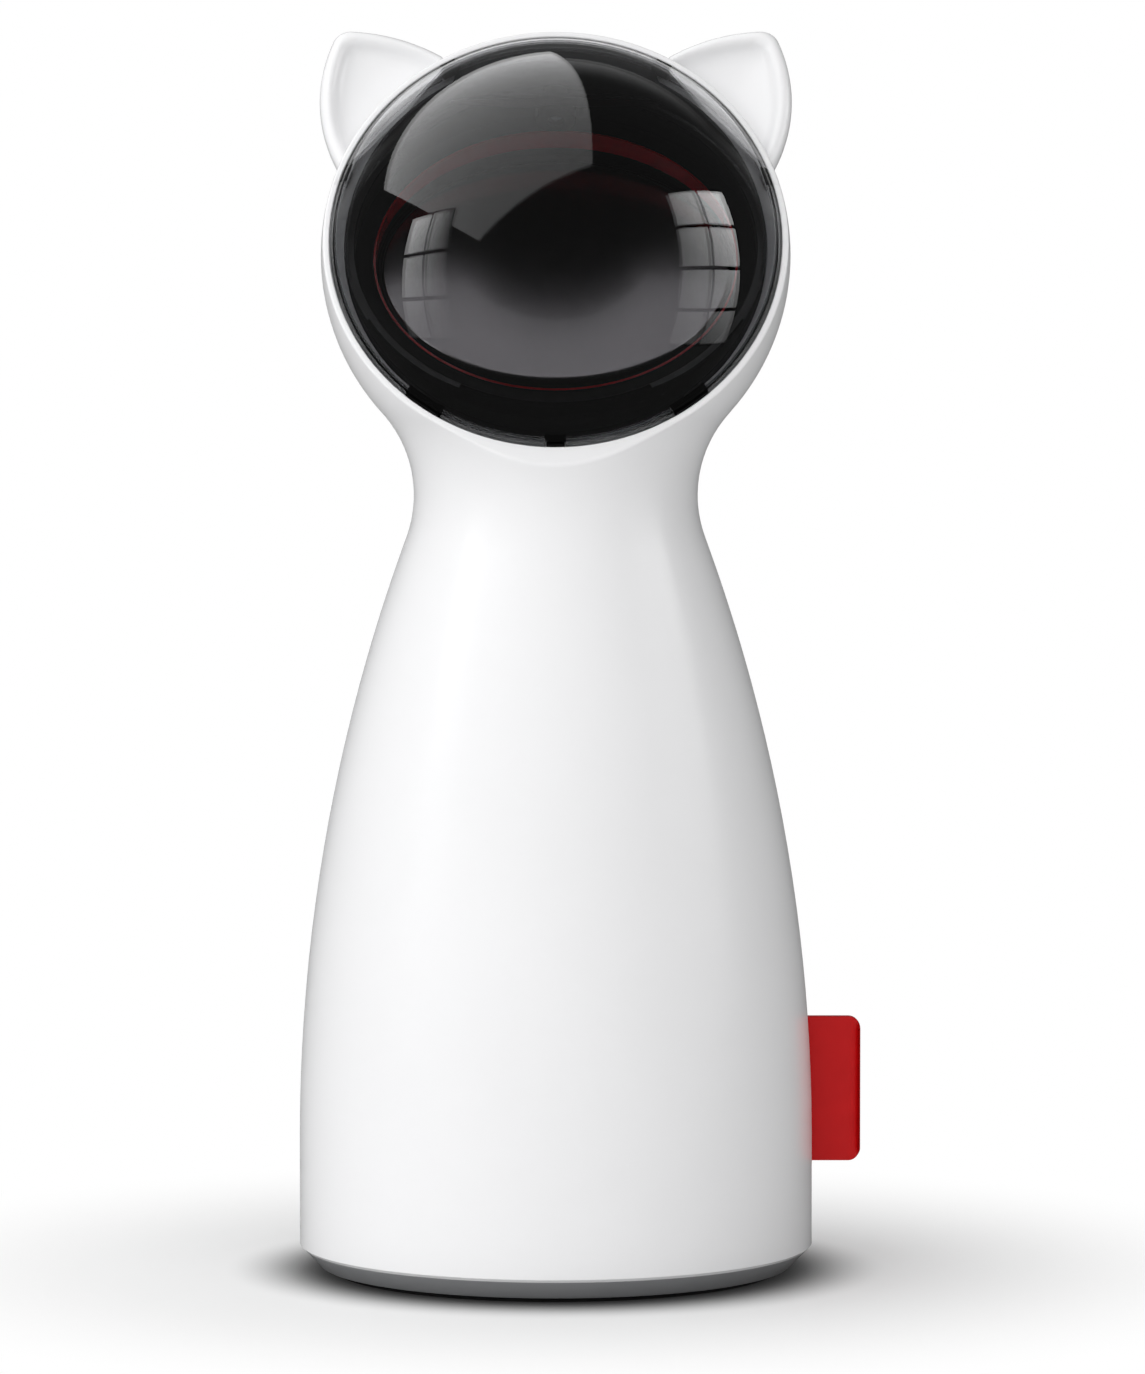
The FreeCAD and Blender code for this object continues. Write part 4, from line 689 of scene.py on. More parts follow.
# %% Make the ears and seat them on the head
EAR_SIDE, EAR_BACK_ROWS, EAR_SEAT = 2.6, 12, 0.8
ear_rows = [(1, 1, 3.05), (0.8, 1, 3.0), (0.6, 1, 2.9), (0.4, 1, 2.72), (0.22, 1, 2.45), (0.1, 1, 2.1),
            (0.03, 1, 1.7), (0, 0.95, 1.25), (0, 0.85, 0.8), (0, 0.74, 0.4), (0, 0.62, 0.12),
            (0, 0.5, 0.0), (0, 0.38, 0.06), (0, 0.26, 0.22), (0, 0.15, 0.5), (0, 0.07, 0.85),
            (0, 0.02, 1.3), (0, 0, 1.9), (0, 0, EAR_SIDE)]
for step in range(1, EAR_BACK_ROWS + 1):
    angle = math.radians(90 * step / EAR_BACK_ROWS)
    ear_rows.append((1 - math.cos(angle), 0, EAR_SIDE + (EAR_DEPTH - EAR_SIDE) * math.sin(angle)))


def make_ear(name, side_sign):
    """One ear, cut off just under the head's skin."""
    ear = lofted(name, [ear_ring(middle, inner, depth, side_sign) for middle, inner, depth in ear_rows],
                 len(EAR_OUTER))
    core = begin("ear_core", bpy.ops.mesh.primitive_uv_sphere_add, segments=96, ring_count=64,
                 radius=(HEAD_R - EAR_SEAT) * MM, location=(0, 0, HEAD_Z * MM))
    carve(ear, core)
    drop(core)
    return ear


ears = [make_ear("left_ear", 1), make_ear("right_ear", -1)]
print(f"ears: {len(ears[0].data.polygons)} faces each")

# %% [markdown]
# ## What passes through the shells
# The tag, the power button's light ring and the charging socket each pass through the wall, and four screws
# from the back pull the shells together. Their ways are cut out of the closed skin.

# %% Sizes of the ways, in mm
TAG_LOW, TAG_HIGH, TAG_REACH, TAG_THICK = 18.4, 42.7, 51.1, 2.0
TAG_Z = (TAG_LOW + TAG_HIGH) / 2
BUTTON_Z, GLOW_R, SOCKET_Z, SCREW_WAY_R = 50.0, 8.0, 28.0, 2.75
TOWERS = [(32.0, 52.0), (-32.0, 52.0), (19.5, 102.0), (-19.5, 102.0)]


def bar(name, size, middle, rounding, segments=4):
    """A box with rounded edges, its size and middle in mm."""
    piece = begin(name, bpy.ops.mesh.primitive_cube_add, size=1, location=Vector(middle) * MM)
    piece.scale = Vector(size) * MM
    bpy.ops.object.transform_apply(location=True, rotation=True, scale=True)
    return eased(piece, rounding, segments=segments) if rounding else piece


def rod(name, radius, low, high, place, steps=96):
    """A plain closed cylinder along a place's own Z."""
    return turned(name, [(0, low), (radius, low), (radius, high), (0, high)], place, steps)


# %% Cut the ways
tag_way = bar("tag_way", (6, TAG_THICK + 0.16, TAG_HIGH - TAG_LOW + 0.2), (42.5, 0, TAG_Z), 0)
for shell in (front_shell, rear_shell):
    carve(shell, tag_way)
ways = [rod("button_way", GLOW_R + 0.12, 25, 60, toward_back(z=BUTTON_Z)),
        bar("socket_way", (8.4, 30, 3.7), (0, 45, SOCKET_Z), 1.4, 5)]
ways += [rod("screw_way", SCREW_WAY_R, 12, 60, toward_back(x, z)) for x, z in TOWERS]
carve(rear_shell, *ways)
drop(tag_way, *ways)

# %% [markdown]
# Behind each screw's way stands a tower that carries the screw's head. Its outer end follows the inside of
# the wall, so each point of that end is moved to where the wall is.

# %% Screw towers
TOWER_R, TOWER_BORE, TOWER_FOOT, HEAD_SEAT, TOWER_END = 3.4, 1.2, 0.1, 8.0, 20.0


def tower(x, z):
    """A sleeve for the screw at a place on the back."""
    profile = section((TOWER_BORE, HEAD_SEAT), (TOWER_BORE, TOWER_FOOT), (TOWER_R, TOWER_FOOT),
                      (TOWER_R, TOWER_END), (SCREW_WAY_R, TOWER_END), (SCREW_WAY_R, HEAD_SEAT))
    sleeve = turned("tower", profile, steps=48)
    for vertex in sleeve.data.vertices:
        spot = vertex.co / MM
        height = z - spot.y
        if spot.z > HEAD_SEAT + 1:
            wall = side(way_up(height), WALL / 2)[0]
            spot.z = math.sqrt(wall ** 2 - (x + spot.x) ** 2)
        vertex.co = Vector((x + spot.x, spot.z, height)) * MM
    return close_up(sleeve)


joined(rear_shell, *ears, *[tower(x, z) for x, z in TOWERS])
finished(front_shell, "housing", gloss_abs, "white_shell", "front_shell", angle=32)
finished(rear_shell, "housing", gloss_abs, "white_shell", "rear_shell", angle=32)

# %% [markdown]
# ## The dome
# One clear cap of a sphere with a straight skirt that drops into the rim's step. Notches in its skirt let the
# bowl's lugs through and keep it from turning.

# %% Dome
DOME_R, DOME_WALL, DOME_EDGE, DOME_BREAK = 42.8, 1.5, 37.55, 0.2
DOME_MIDDLE = RIM_OFFSET - math.sqrt(DOME_R ** 2 - DOME_EDGE ** 2)
SKIRT_INSIDE, SKIRT_LOW = DOME_EDGE - DOME_WALL, LEDGE + 0.15
LUGS = [(18, 3.0), (61, 3.0), (119, 3.0), (161, 3.0), (234, 6.6), (270, 3.0), (307, 6.6)]
NOTCH = 4.0


def cap(out, radius):
    """Points up a ball of a radius about the dome's middle, from so far out to its top."""
    return list(arc((0, DOME_MIDDLE), radius, math.degrees(math.acos(out / radius)), 90, 48))


outer_side = [(SKIRT_INSIDE, SKIRT_LOW + DOME_BREAK), (SKIRT_INSIDE + DOME_BREAK, SKIRT_LOW),
              (DOME_EDGE - DOME_BREAK, SKIRT_LOW), (DOME_EDGE, SKIRT_LOW + DOME_BREAK)]
outer_side += cap(DOME_EDGE, DOME_R)
dome = turned("smoked_dome", outer_side[::-1] + cap(SKIRT_INSIDE, DOME_R - DOME_WALL), facing(RIM_TILT))
for angle, width in LUGS:
    notch = bar("notch", (NOTCH, width + 0.4, NOTCH), (0, 0, 0), 0)
    notch.data.transform(facing(RIM_TILT, angle, x=DOME_EDGE - 0.6, z=LEDGE + 1.7))
    carve(dome, notch)
    drop(notch)
finished(dome, "housing", smoked_clear, "smoked_dome", "dome_cover", angle=30)

# %% [markdown]
# ## The black bowl
# Its floor and its wall are turned about the mirror's axis, its lip leans less, and the band outside the
# lip meets the dome's rim, which leans least. So its skin is lofted through circles, each with its own tilt.

# %% Rings of the bowl
LIP_OFFSET, LIP_R, FLOOR = 2.7, 33.0, 8.3
BOWL_R = math.hypot(LIP_R, LIP_OFFSET)
BEZEL_R, BEZEL_WALL = 35.97, 1.3
BOWL_WALL, FLOOR_WALL, MORE_WALL = 1.4, 1.5, 0.8
SEAT = RIM_OFFSET - 2.2
FLANGE_R, WIDE_FLANGE = 34.4, [(61, 119, 35.9), (234, 307, 35.4)]
DOME_MIDDLE_AT = (facing(RIM_TILT, z=DOME_MIDDLE) @ Vector()) / MM
CLEAR_OF_DOME = DOME_R - DOME_WALL - 0.4


def circle(tilt, offset, radius):
    """A ring on a tilted plane, kept clear of the inside of the dome."""
    place = facing(tilt)

    def point(turn):
        spot = (place @ (Vector((radius * math.cos(turn), radius * math.sin(turn), offset)) * MM)) / MM
        out = spot - DOME_MIDDLE_AT
        return DOME_MIDDLE_AT + out.normalized() * min(out.length, CLEAR_OF_DOME)
    return point


def on_ball(tilt, offset, ball):
    """A ring where a tilted plane cuts a ball about the head's middle."""
    return circle(tilt, offset, math.sqrt(ball ** 2 - offset ** 2))


def mix(low, high, share):
    """The value a share of the way from low to high."""
    return low + (high - low) * share


def middles(count):
    """The middles of a number of equal shares of 1."""
    return [(step + 0.5) / count for step in range(count)]


def flange(offset, inset):
    """The bowl's flange, wide at the top and at the bottom, and narrow at both sides."""
    def point(turn):
        angle = math.degrees(turn) % 360
        wide = [radius for first, last, radius in WIDE_FLANGE if first <= angle <= last]
        return circle(RIM_TILT, offset, max([FLANGE_R, *wide]) - inset)(turn)
    return point


def outside(share):
    """The bowl's outer side, a share of the way down, with more wall behind the bezel's top."""
    def point(turn):
        ball = BOWL_R + BOWL_WALL + MORE_WALL * max(0.0, math.sin(turn)) * (1 - share)
        return on_ball(mix(RIM_TILT, SPIN_TILT, share), mix(SEAT, -FLOOR - FLOOR_WALL, share), ball)(turn)
    return point


bowl_rings = [circle(SPIN_TILT, -FLOOR, radius) for radius in (0, 8, 16, 24, 30, 31.4)]
bowl_rings += [on_ball(mix(SPIN_TILT, LIP_TILT, share), mix(-FLOOR + 0.4, LIP_OFFSET - 0.2, share), BOWL_R)
               for share in (0, 0.1, 0.2, 0.35, 0.5, 0.65, 0.8, 0.9, 1.0)]
bowl_rings += [circle(LIP_TILT, LIP_OFFSET, LIP_R + 0.2), circle(LIP_TILT, LIP_OFFSET, LIP_R + 1.2)]
bowl_rings += [on_ball(mix(LIP_TILT, RIM_TILT, share), mix(LIP_OFFSET, SEAT + 1, share), BEZEL_R - BEZEL_WALL)
               for share in middles(10)]
bowl_rings += [circle(RIM_TILT, SEAT + 1, 33.9)]
bowl_rings += [flange(SEAT + 1, 0.2), flange(SEAT + 0.8, 0), flange(SEAT, 0)]
bowl_rings += [outside(share) for share in middles(6)]
bowl_rings += [circle(SPIN_TILT, -FLOOR - FLOOR_WALL, radius) for radius in (31.0, 20, 10, 0)]
bowl = lofted("mirror_bowl_skin", bowl_rings, 144)

# %% [markdown]
# Lugs at the rim fill the notches of the dome, and a low shelf inside carries the red ring.

# %% Lugs and shelf
LUG_THICK, LUG_TALL = 1.9, 2.7
SHELF, SHELF_FOOT, RING_R, RING_TILT, RING_LIFT = -2.64, -4.2, 29.8, 47.93, -0.7
lugs = []
for angle, width in LUGS:
    lug = bar("lug", (LUG_THICK, width, LUG_TALL), (0, 0, 0), 0.25, 2)
    lug.data.transform(facing(RIM_TILT, angle, x=DOME_EDGE - LUG_THICK / 2, z=SEAT + LUG_TALL / 2))
    lugs.append(lug)
shelf = looped("ring_shelf", [
    circle(SPIN_TILT, SHELF_FOOT, RING_R), circle(SPIN_TILT, SHELF, RING_R),
    circle(SPIN_TILT, SHELF, RING_R + 0.4), circle(RING_TILT, RING_LIFT, RING_R + 0.45),
    on_ball(RING_TILT, RING_LIFT + 0.5, BOWL_R + 0.2), on_ball(SPIN_TILT, SHELF_FOOT, BOWL_R + 0.2)], 144)
joined(bowl, *lugs, shelf)
finished(bowl, "housing", black_with_painted_shade, "black_bowl", "mirror_bowl", angle=35)

# %% The satin bezel, in front of the lip
BEZEL_INSIDE = 33.2
# Faces behind the lip keep the near-black of painted shade; the bezel in front of it gets the satin black.
bowl.data.materials.append(bezel_black)
head_middle = Vector((0, 0, HEAD_Z * MM))
into_lip = facing(LIP_TILT).inverted()
for face in bowl.data.polygons:
    in_front = (into_lip @ face.center).z > (LIP_OFFSET - 0.05) * MM
    face.material_index = int(in_front and (face.center - head_middle).length > BEZEL_INSIDE * MM)

# %% [markdown]
# A black visor under the lip's top keeps the light of the room off the laser. It is a round plate that the
# bowl's wall cuts off at its back, with a way for the laser's beam. The mirror shows its underside.

# %% Visor
LASER_TILT, LASER_START, MIRROR_BACK = 77.0, 30.4, 3.1
VISOR_R, VISOR_Y, VISOR_UP, VISOR_LEAN, VISOR_THICK, BEAM_R = 18.9, 17.5, 26.3, -5.8, 0.5, 3.6
laser_place = (facing(SPIN_TILT, z=-MIRROR_BACK) @ Matrix.Rotation(math.radians(-LASER_TILT), 4, "X")
               @ Matrix.Translation((0, 0, LASER_START * MM)))
visor_place = (Matrix.Translation(head_middle) @ Matrix.Rotation(math.radians(VISOR_LEAN), 4, "X")
               @ Matrix.Translation((0, VISOR_Y * MM, VISOR_UP * MM)))
visor = rod("laser_visor", VISOR_R, -VISOR_THICK, 0, visor_place, 160)
ball = begin("ball", bpy.ops.mesh.primitive_uv_sphere_add, segments=96, ring_count=48,
             radius=(BOWL_R + 0.3) * MM, location=head_middle)
carve(visor, ball, operation="INTERSECT")
eased(visor, 0.12, angle=50, segments=3)
beam = rod("beam_way", BEAM_R, -6, 14, laser_place, 48)
carve(visor, beam)
drop(ball, beam)
finished(visor, "housing", black_with_painted_shade, "black_bracket")

# %% [markdown]
# ## The red ring
# A red moulding lines the bowl just above the mirror's edge. Its sloping face shows as a thin red arc.

# %% Red ring
RING_OUTSIDE = RING_R + 0.35
ring = looped("red_ring", [
    circle(SPIN_TILT, SHELF, RING_R), circle(RING_TILT, RING_LIFT, RING_R),
    circle(RING_TILT, RING_LIFT, RING_OUTSIDE), circle(SPIN_TILT, SHELF, RING_OUTSIDE)], 160)
finished(ring, "housing", ring_red, "red_ring", "accent_ring")

# %% [markdown]
# ## Mirror and carrier
# The mirror is a round glass with its metal film in front, sunk in a black plate. The plate leans four
# degrees from square to the axis that it turns about, so the laser's dot runs round in a circle.

# %% Mirror and carrier
MIRROR_R, MIRROR_THICK, MIRROR_TILT = 28.8, 1.0, 4.0
GLASS_R, GLASS_BREAK = MIRROR_R - 0.05, 0.3
CARRIER_R, CARRIER_DEEP, HUB_R, HUB_TOP = MIRROR_R + 0.5, MIRROR_THICK + 1.5, 6.0, -6.0
on_mirror = facing(SPIN_TILT, z=-MIRROR_BACK) @ Matrix.Rotation(math.radians(-MIRROR_TILT), 4, "X")
glass = turned("round_mirror", [(0, 0), (GLASS_R - GLASS_BREAK, 0), (GLASS_R, -GLASS_BREAK),
                                (GLASS_R, -MIRROR_THICK), (0, -MIRROR_THICK)], on_mirror)
finished(glass, "mirror_rotor", silvered, "mirror_glass", "mirror_disc", angle=20)
plate = turned("mirror_carrier_plate", section(
    (0, -MIRROR_THICK), (MIRROR_R, -MIRROR_THICK), (MIRROR_R, 0), (CARRIER_R, 0, 0.15),
    (CARRIER_R, -CARRIER_DEEP, 0.5), (0, -CARRIER_DEEP), closed=False), on_mirror)
hub = turned("hub", section((0, HUB_TOP), (HUB_R, HUB_TOP), (HUB_R, -FLOOR + 0.3, 0.4), (0, -FLOOR + 0.3),
                            closed=False), facing(SPIN_TILT), 48)
joined(plate, hub)
finished(plate, "mirror_rotor", black_with_painted_shade, "black_bowl", "mirror_carrier")

# %% [markdown]
# ## Laser module
# A barrel of blackened brass with a tiny lens, in a black sleeve at the bowl's upper wall.

# %% Laser
SLEEVE_R, SLEEVE_FRONT, SLEEVE_END, WINDOW_R = 3.4, -0.35, 6.8, 1.5
BARREL_R, BARREL_END, BARREL_GAP, BORE_R, LENS_R, LENS_BACK = 2.48, 6.4, 0.04, 1.3, 1.28, 1.2
sleeve = turned("laser_sleeve", section(
    (WINDOW_R, SLEEVE_FRONT), (SLEEVE_R, SLEEVE_FRONT, 0.2), (SLEEVE_R, SLEEVE_END, 0.2),
    (BARREL_R + BARREL_GAP, SLEEVE_END), (BARREL_R + BARREL_GAP, -0.05), (WINDOW_R, -0.05)), laser_place, 48)
finished(sleeve, "housing", black_with_painted_shade, "black_bracket", "laser_holder")
barrel = turned("laser_barrel_turned", section(
    (0, 1.5), (BORE_R, 1.5), (BORE_R, 0.35), (1.6, 0), (2.25, 0), (BARREL_R, 0.25),
    (BARREL_R, BARREL_END, 0.3), (0, BARREL_END), closed=False), laser_place, 48)
finished(barrel, "housing", metals["blackened_brass"], "brass_metal", "laser_barrel")
lens = turned("laser_lens_bead", [(0, LENS_BACK), (LENS_R, LENS_BACK), (LENS_R, 0.85),
                                  *arc((0, -1.3), 2.5, 59, 90, 6)], laser_place, 48)
finished(lens, "housing", lens_clear, "clear_lens", "laser_lens")

# %% [markdown]
# ## The red tag
# A soft tongue of silicone that the shells clamp in their seam. Its outer corners are rounded and its faces
# are left plain.

# %% Tag
TAG_ROOT, TAG_CORNER, TAG_SOFT = 39.6, 2.0, 0.45
tag = bar("silicone_tag", (TAG_REACH - TAG_ROOT, TAG_THICK, TAG_HIGH - TAG_LOW),
          ((TAG_REACH + TAG_ROOT) / 2, 0, TAG_Z), 0)
choose_edges(tag, lambda one, other: min(one.x, other.x) > BODY_R and abs(one.y - other.y) > TAG_THICK / 2)
bpy.ops.mesh.bevel(offset=TAG_CORNER * MM, segments=8, affect="EDGES")
bpy.ops.object.mode_set(mode="OBJECT")
eased(tag, TAG_SOFT, segments=4)
finished(tag, "housing", tag_red, "red_rubber", "side_tag")

# %% [markdown]
# ## Dressed copies
# The base with its foot and door, the button with its ring, the socket, the screws, the drive, the board and
# the cells are plain shapes that the solids already have. Each is a dressed copy of its solid. The button is
# white and stands in a milky ring that lights up when the toy is on.

# %% Base, foot, door and button
def dress(node, name, edge, look, slot, body="housing"):
    """Dress a node's copy, give it its look, and let it ride on its body. The slot is not used."""
    finished(dressed(name, node, edge), body, look, slot, node)


dress("base_cover", "base_cover_moulding", 0.2, satin_grey, "grey_base")
dress("foot_ring", "foot_ring_tread", 0.2, foot_rubber, "black_rubber")
dress("battery_door", "battery_door_moulding", 0.2, satin_grey, "grey_base", "battery_door_body")
dress("power_button", "power_button_cap", 0.25, gloss_abs, "white_shell", "power_button_body")
dress("light_ring", "light_ring_guide", 0.2, guide_milky, "light_guide")
dress("usb_socket", "charging_socket", 0.1, metals["nickel_plated_steel"], "nickel_contact")

# %% The works inside
WORKS_EDGE = 0.1
for node in ("base_screws", "shell_screws", "bracket_screws", "board_screws"):
    dress(node, node + "_dressed", WORKS_EDGE, metals["zinc_plated_steel"], "screw_steel")
for node, look, slot, *body in (
        ("mirror_shaft", metals["ground_steel"], "steel_shaft", "mirror_rotor"),
        ("motor_shaft", metals["ground_steel"], "steel_shaft", "motor_pinion"),
        ("motor_can", metals["drawn_steel"], "motor_steel"),
        ("shaft_bush", metals["turned_brass"], "brass_metal"),
        ("cell_contacts", metals["nickel_plated_steel"], "nickel_contact"),
        ("door_contact", metals["nickel_plated_steel"], "nickel_contact", "battery_door_body"),
        ("output_gear", gear_acetal, "white_gear", "mirror_rotor"),
        ("drive_pinion", gear_acetal, "white_gear", "motor_pinion"),
        ("motor_end_cap", black_nylon, "motor_plastic"),
        ("motor_bracket", bracket_black, "black_bracket"),
        ("battery_holder", holder_grey, "grey_holder"),
        ("battery_cells", cell_film, "battery_jacket"),
        ("control_board", board_green, "green_board"),
        ("tact_switch", black_epoxy, "board_black"),
        ("board_parts", black_epoxy, "board_black")):
    dress(node, node + "_dressed", WORKS_EDGE, look, slot, *body)

# %% [markdown]
# ## Floor, light and camera
# A pale floor that rises into a wall behind the toy, so that no horizon shows. Near the toy the floor shows
# the light that falls on it, and round the foot its colour is darkened to black as a painted shadow. Further
# off it fades to plain white for the camera and through glass. Gloss mirrors it as unlit paper.

# %% What the camera sees
def plainly_seen(tree):
    """The light path, and 1 for what the camera sees directly or straight through glass, but 0 for light on
    its way to a surface."""
    rays = add(tree, "ShaderNodeLightPath")
    bounces = add(tree, "ShaderNodeMath", {0: rays.outputs["Diffuse Depth"], 1: rays.outputs["Glossy Depth"]},
                  operation="ADD")
    straight = add(tree, "ShaderNodeMath", {0: bounces.outputs[0]}, {1: 0.5}, operation="LESS_THAN")
    through = add(tree, "ShaderNodeMath",
                  {0: rays.outputs["Is Transmission Ray"], 1: straight.outputs[0]}, operation="MULTIPLY")
    return rays, add(tree, "ShaderNodeMath", {0: rays.outputs["Is Camera Ray"], 1: through.outputs[0]},
                     operation="MAXIMUM")


# %% Paper, its distances from the toy's axis in metres
WHITE, PAPER_MIRRORED = linear("#FFFFFF"), 0.06
PAINTED_SHADOW_START, PAINTED_SHADOW_END, FADE_START, FADE_END = 0.038, 0.056, 0.03, 0.13
floor_white, tree, shader, place = finish_of("white_paper_sweep", "#F0F0F0",
                                             {"Roughness": 0.6, "Specular IOR Level": 0.2})
rays, seen = plainly_seen(tree)
far = add(tree, "ShaderNodeVectorMath", {0: place}, operation="LENGTH")
near, fade = (add(tree, "ShaderNodeMapRange", {"Value": far.outputs["Value"]},
                  {"From Min": first, "From Max": last, "To Min": low}, interpolation_type="SMOOTHSTEP")
              for first, last, low in ((PAINTED_SHADOW_START, PAINTED_SHADOW_END, 0.1), (FADE_START, FADE_END, 0.0)))
# A painted shadow: the floor's colour is black at the foot and turns to its own pale grey a little way out.
tone = add(tree, "ShaderNodeMix", {"Factor": near.outputs["Result"]}, data_type="RGBA")
tone.inputs["A"].default_value, tone.inputs["B"].default_value = linear("#000000"), linear("#F0F0F0")
tree.links.new(tone.outputs["Result"], shader.inputs["Base Color"])
seen = add(tree, "ShaderNodeMath", {0: seen.outputs[0], 1: fade.outputs["Result"]}, operation="MULTIPLY")
glow = add(tree, "ShaderNodeEmission", values={"Color": WHITE, "Strength": 1.0})
dim = add(tree, "ShaderNodeEmission", values={"Color": WHITE, "Strength": PAPER_MIRRORED})
mixed = add(tree, "ShaderNodeMixShader", {0: seen.outputs[0], 1: shader.outputs[0], 2: glow.outputs[0]})
mixed = add(tree, "ShaderNodeMixShader",
            {0: rays.outputs["Is Glossy Ray"], 1: mixed.outputs[0], 2: dim.outputs[0]})
tree.links.new(mixed.outputs[0], tree.nodes["Material Output"].inputs["Surface"])

# %% Floor, its sizes in metres
FLOOR_SIZE, WALL_HEIGHT, SWEEP_R = 8.0, 4.0, 1.5
floor = begin("floor", bpy.ops.mesh.primitive_plane_add, size=FLOOR_SIZE)
choose_edges(floor, lambda one, other: min(one.y, other.y) > 0)
bpy.ops.mesh.select_mode(type="EDGE")
bpy.ops.mesh.extrude_region_move(TRANSFORM_OT_translate={"value": (0, 0, WALL_HEIGHT)})
bpy.ops.object.mode_set(mode="OBJECT")
eased(floor, SWEEP_R / MM, segments=16)
pick(floor)
bpy.ops.object.shade_smooth()
floor.data.materials.append(floor_white)

# %% [markdown]
# A wide soft box hangs over the left of the toy, brightest at its back, and a window with glazing bars stands
# at each side. They are what the gloss of the body and the dome mirrors. Each is a sheet that glows on one
# side, placed by the directions of its corners from the middle of the head.

# %% Glowing sheets
SHEET_CELLS, BAR_SHARE, RISE = 10, 0.045, 1.5


def panel(name, corners, reach, strengths, panes=(1, 1), overhead=False):
    """A glowing sheet that only gloss and glass see, with its corners' azimuths and elevations and how
    bright it is at each, from the lower left round to the upper left as the toy sees them. Azimuth 0 is in
    front. An overhead sheet lies level, at the reach above the head's middle."""
    spots = []
    for azimuth, elevation in corners:
        across, up = math.radians(azimuth), math.radians(elevation)
        way = Vector((math.sin(across) * math.cos(up), -math.cos(across) * math.cos(up), math.sin(up)))
        spots.append(way * (reach / way.z if overhead else reach) + Vector((0, 0, HEAD_Z * MM)))
    sheet = begin(name, bpy.ops.mesh.primitive_grid_add, x_subdivisions=SHEET_CELLS,
                  y_subdivisions=SHEET_CELLS, size=2)
    for vertex in sheet.data.vertices:
        u, v = (vertex.co.x + 1) / 2, (vertex.co.y + 1) / 2
        vertex.co = spots[0].lerp(spots[1], u).lerp(spots[3].lerp(spots[2], u), v)
    made = bpy.data.materials.new(name)
    made.use_nodes = True
    tree = made.node_tree
    tree.nodes.clear()
    at = add(tree, "ShaderNodeSeparateXYZ", {"Vector": add(tree, "ShaderNodeTexCoord").outputs["UV"]})
    low, high = (add(tree, "ShaderNodeMapRange", {"Value": at.outputs["X"]},
                     {"To Min": left, "To Max": right}) for left, right in (strengths[:2], strengths[:1:-1]))
    rise = add(tree, "ShaderNodeMath", {0: at.outputs["Y"]}, {1: RISE}, operation="POWER")
    level = add(tree, "ShaderNodeMix", {"Factor": rise.outputs[0], "A": low.outputs[0], "B": high.outputs[0]})
    for axis, count in zip("XY", panes):
        if count > 1:
            along = add(tree, "ShaderNodeMath", {0: at.outputs[axis]}, {1: count}, operation="MULTIPLY")
            from_bar = add(tree, "ShaderNodeMath", {0: along.outputs[0]}, {1: 0.5}, operation="PINGPONG")
            pane = add(tree, "ShaderNodeMath", {0: from_bar.outputs[0]}, {1: BAR_SHARE},
                       operation="GREATER_THAN")
            level = add(tree, "ShaderNodeMath", {0: level.outputs[0], 1: pane.outputs[0]},
                        operation="MULTIPLY")
    glow = add(tree, "ShaderNodeEmission", {"Strength": level.outputs[0]})
    clear = add(tree, "ShaderNodeBsdfTransparent")
    back = add(tree, "ShaderNodeNewGeometry").outputs["Backfacing"]
    both = add(tree, "ShaderNodeMixShader", {0: back, 1: glow.outputs[0], 2: clear.outputs[0]})
    add(tree, "ShaderNodeOutputMaterial", {"Surface": both.outputs[0]})
    sheet.data.materials.append(made)
    sheet.visible_camera = sheet.visible_diffuse = False


panel("soft_box", ((31, 61.5), (-38, 25), (-106, 29), (-179, 36.3)), 1.0, (0.5, 0.55, 1.5, 1.7),
      overhead=True)
panel("left_window", ((-45, -17), (-70, -16), (-76, 27), (-55, 36)), 0.5, (0.05, 0.35, 4.0, 0.15), (2, 3))
panel("right_window", ((84, -17), (52, -19), (66, 40), (100, 30)), 0.5, (0.6, 0.2, 1.2, 5.0), (2, 4))

# %% [markdown]
# The room is white where the camera sees it. Gloss mirrors it as dim, but for rays that graze the toy and run
# on to the white behind it. For matt surfaces it is a broad soft light from the upper front left, and those
# behind the dome get most of that light too.

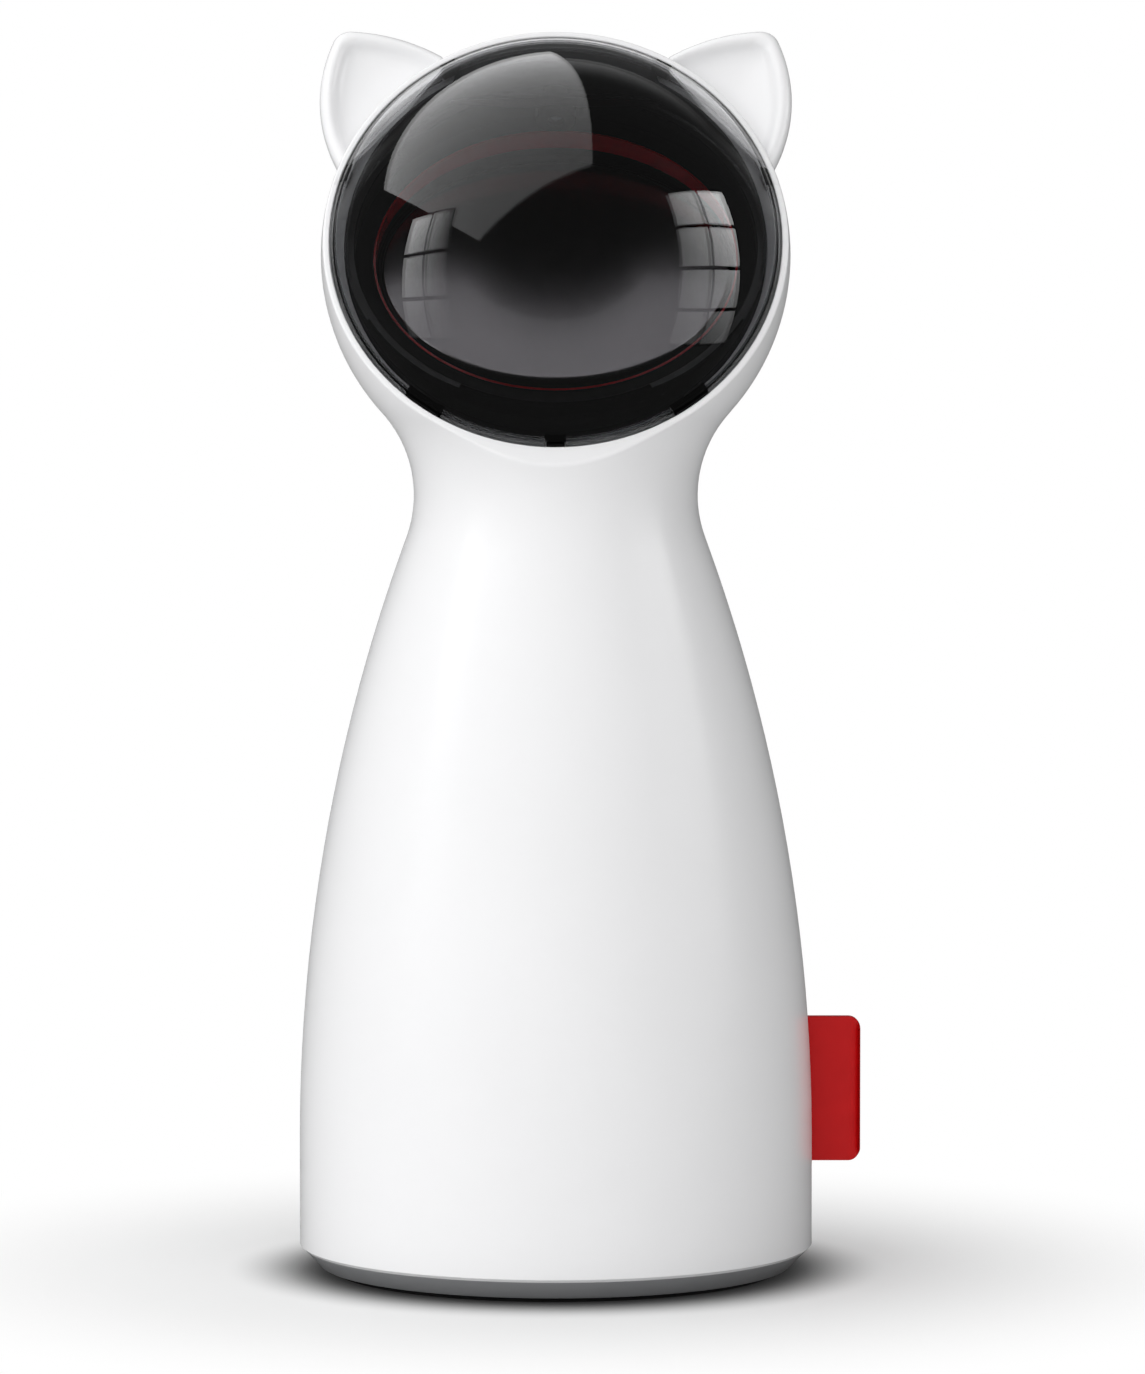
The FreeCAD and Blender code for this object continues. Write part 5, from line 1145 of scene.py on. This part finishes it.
# %% Room
LIGHT_FROM, SHADE_LIGHT, FULL_LIGHT, THROUGH_DOME = (-0.57, -0.73, 0.37), 0.2, 1.62, 0.8
world = bpy.context.scene.world or bpy.data.worlds.new("room")
bpy.context.scene.world = world
world.use_nodes = True
tree = world.node_tree
tree.nodes.clear()
rays, seen = plainly_seen(tree)
way = add(tree, "ShaderNodeTexCoord").outputs["Generated"]
depth = add(tree, "ShaderNodeSeparateXYZ", {"Vector": way}).outputs["Y"]
behind = add(tree, "ShaderNodeMapRange", {"Value": depth},
             {"From Min": 0.5, "From Max": 1.0, "To Min": 0.05, "To Max": 0.9},
             interpolation_type="SMOOTHSTEP")
mirrored = add(tree, "ShaderNodeMath", {0: rays.outputs["Is Glossy Ray"], 1: behind.outputs["Result"]},
               operation="MULTIPLY")
seen = add(tree, "ShaderNodeMath", {0: seen.outputs[0], 1: mirrored.outputs[0]}, operation="MAXIMUM")
side_on = add(tree, "ShaderNodeVectorMath", {0: way}, {1: LIGHT_FROM}, operation="DOT_PRODUCT")
tone = add(tree, "ShaderNodeMapRange", {"Value": side_on.outputs["Value"]},
           {"From Min": -0.2, "From Max": 1.0, "To Min": SHADE_LIGHT, "To Max": FULL_LIGHT},
           interpolation_type="SMOOTHSTEP")
under_dome = add(tree, "ShaderNodeMath",
                 {0: rays.outputs["Is Transmission Ray"], 1: rays.outputs["Diffuse Depth"]},
                 operation="MULTIPLY")
under_dome = add(tree, "ShaderNodeMath", {0: under_dome.outputs[0]}, {1: THROUGH_DOME}, operation="MINIMUM")
matt = add(tree, "ShaderNodeMath", {0: rays.outputs["Is Diffuse Ray"], 1: under_dome.outputs[0]},
           operation="ADD")
room = add(tree, "ShaderNodeMath", {0: matt.outputs[0], 1: tone.outputs["Result"]}, operation="MULTIPLY")
bright = add(tree, "ShaderNodeMath", {0: seen.outputs[0], 1: room.outputs[0]}, operation="MAXIMUM")
paper = add(tree, "ShaderNodeBackground", {"Strength": bright.outputs[0]}, {"Color": WHITE})
add(tree, "ShaderNodeOutputWorld", {"Surface": paper.outputs[0]})

# %% Camera
LENS, CAMERA_AT, LOOKING_AT = 299.0, (2.8, -1900, 290.4), (2.8, 0, 98.2)
camera = bpy.data.objects.new("camera", bpy.data.cameras.new("camera"))
bpy.context.scene.collection.objects.link(camera)
bpy.context.scene.camera = camera
camera.data.lens, camera.data.sensor_width = LENS, 36.0
camera.location = Vector(CAMERA_AT) * MM
aim = Vector(LOOKING_AT) * MM - camera.location
camera.rotation_mode = "QUATERNION"
camera.rotation_quaternion = aim.to_track_quat("-Z", "Y")
camera.data.clip_start, camera.data.clip_end = 0.05, 50
bpy.context.scene.view_settings.view_transform = "Standard"
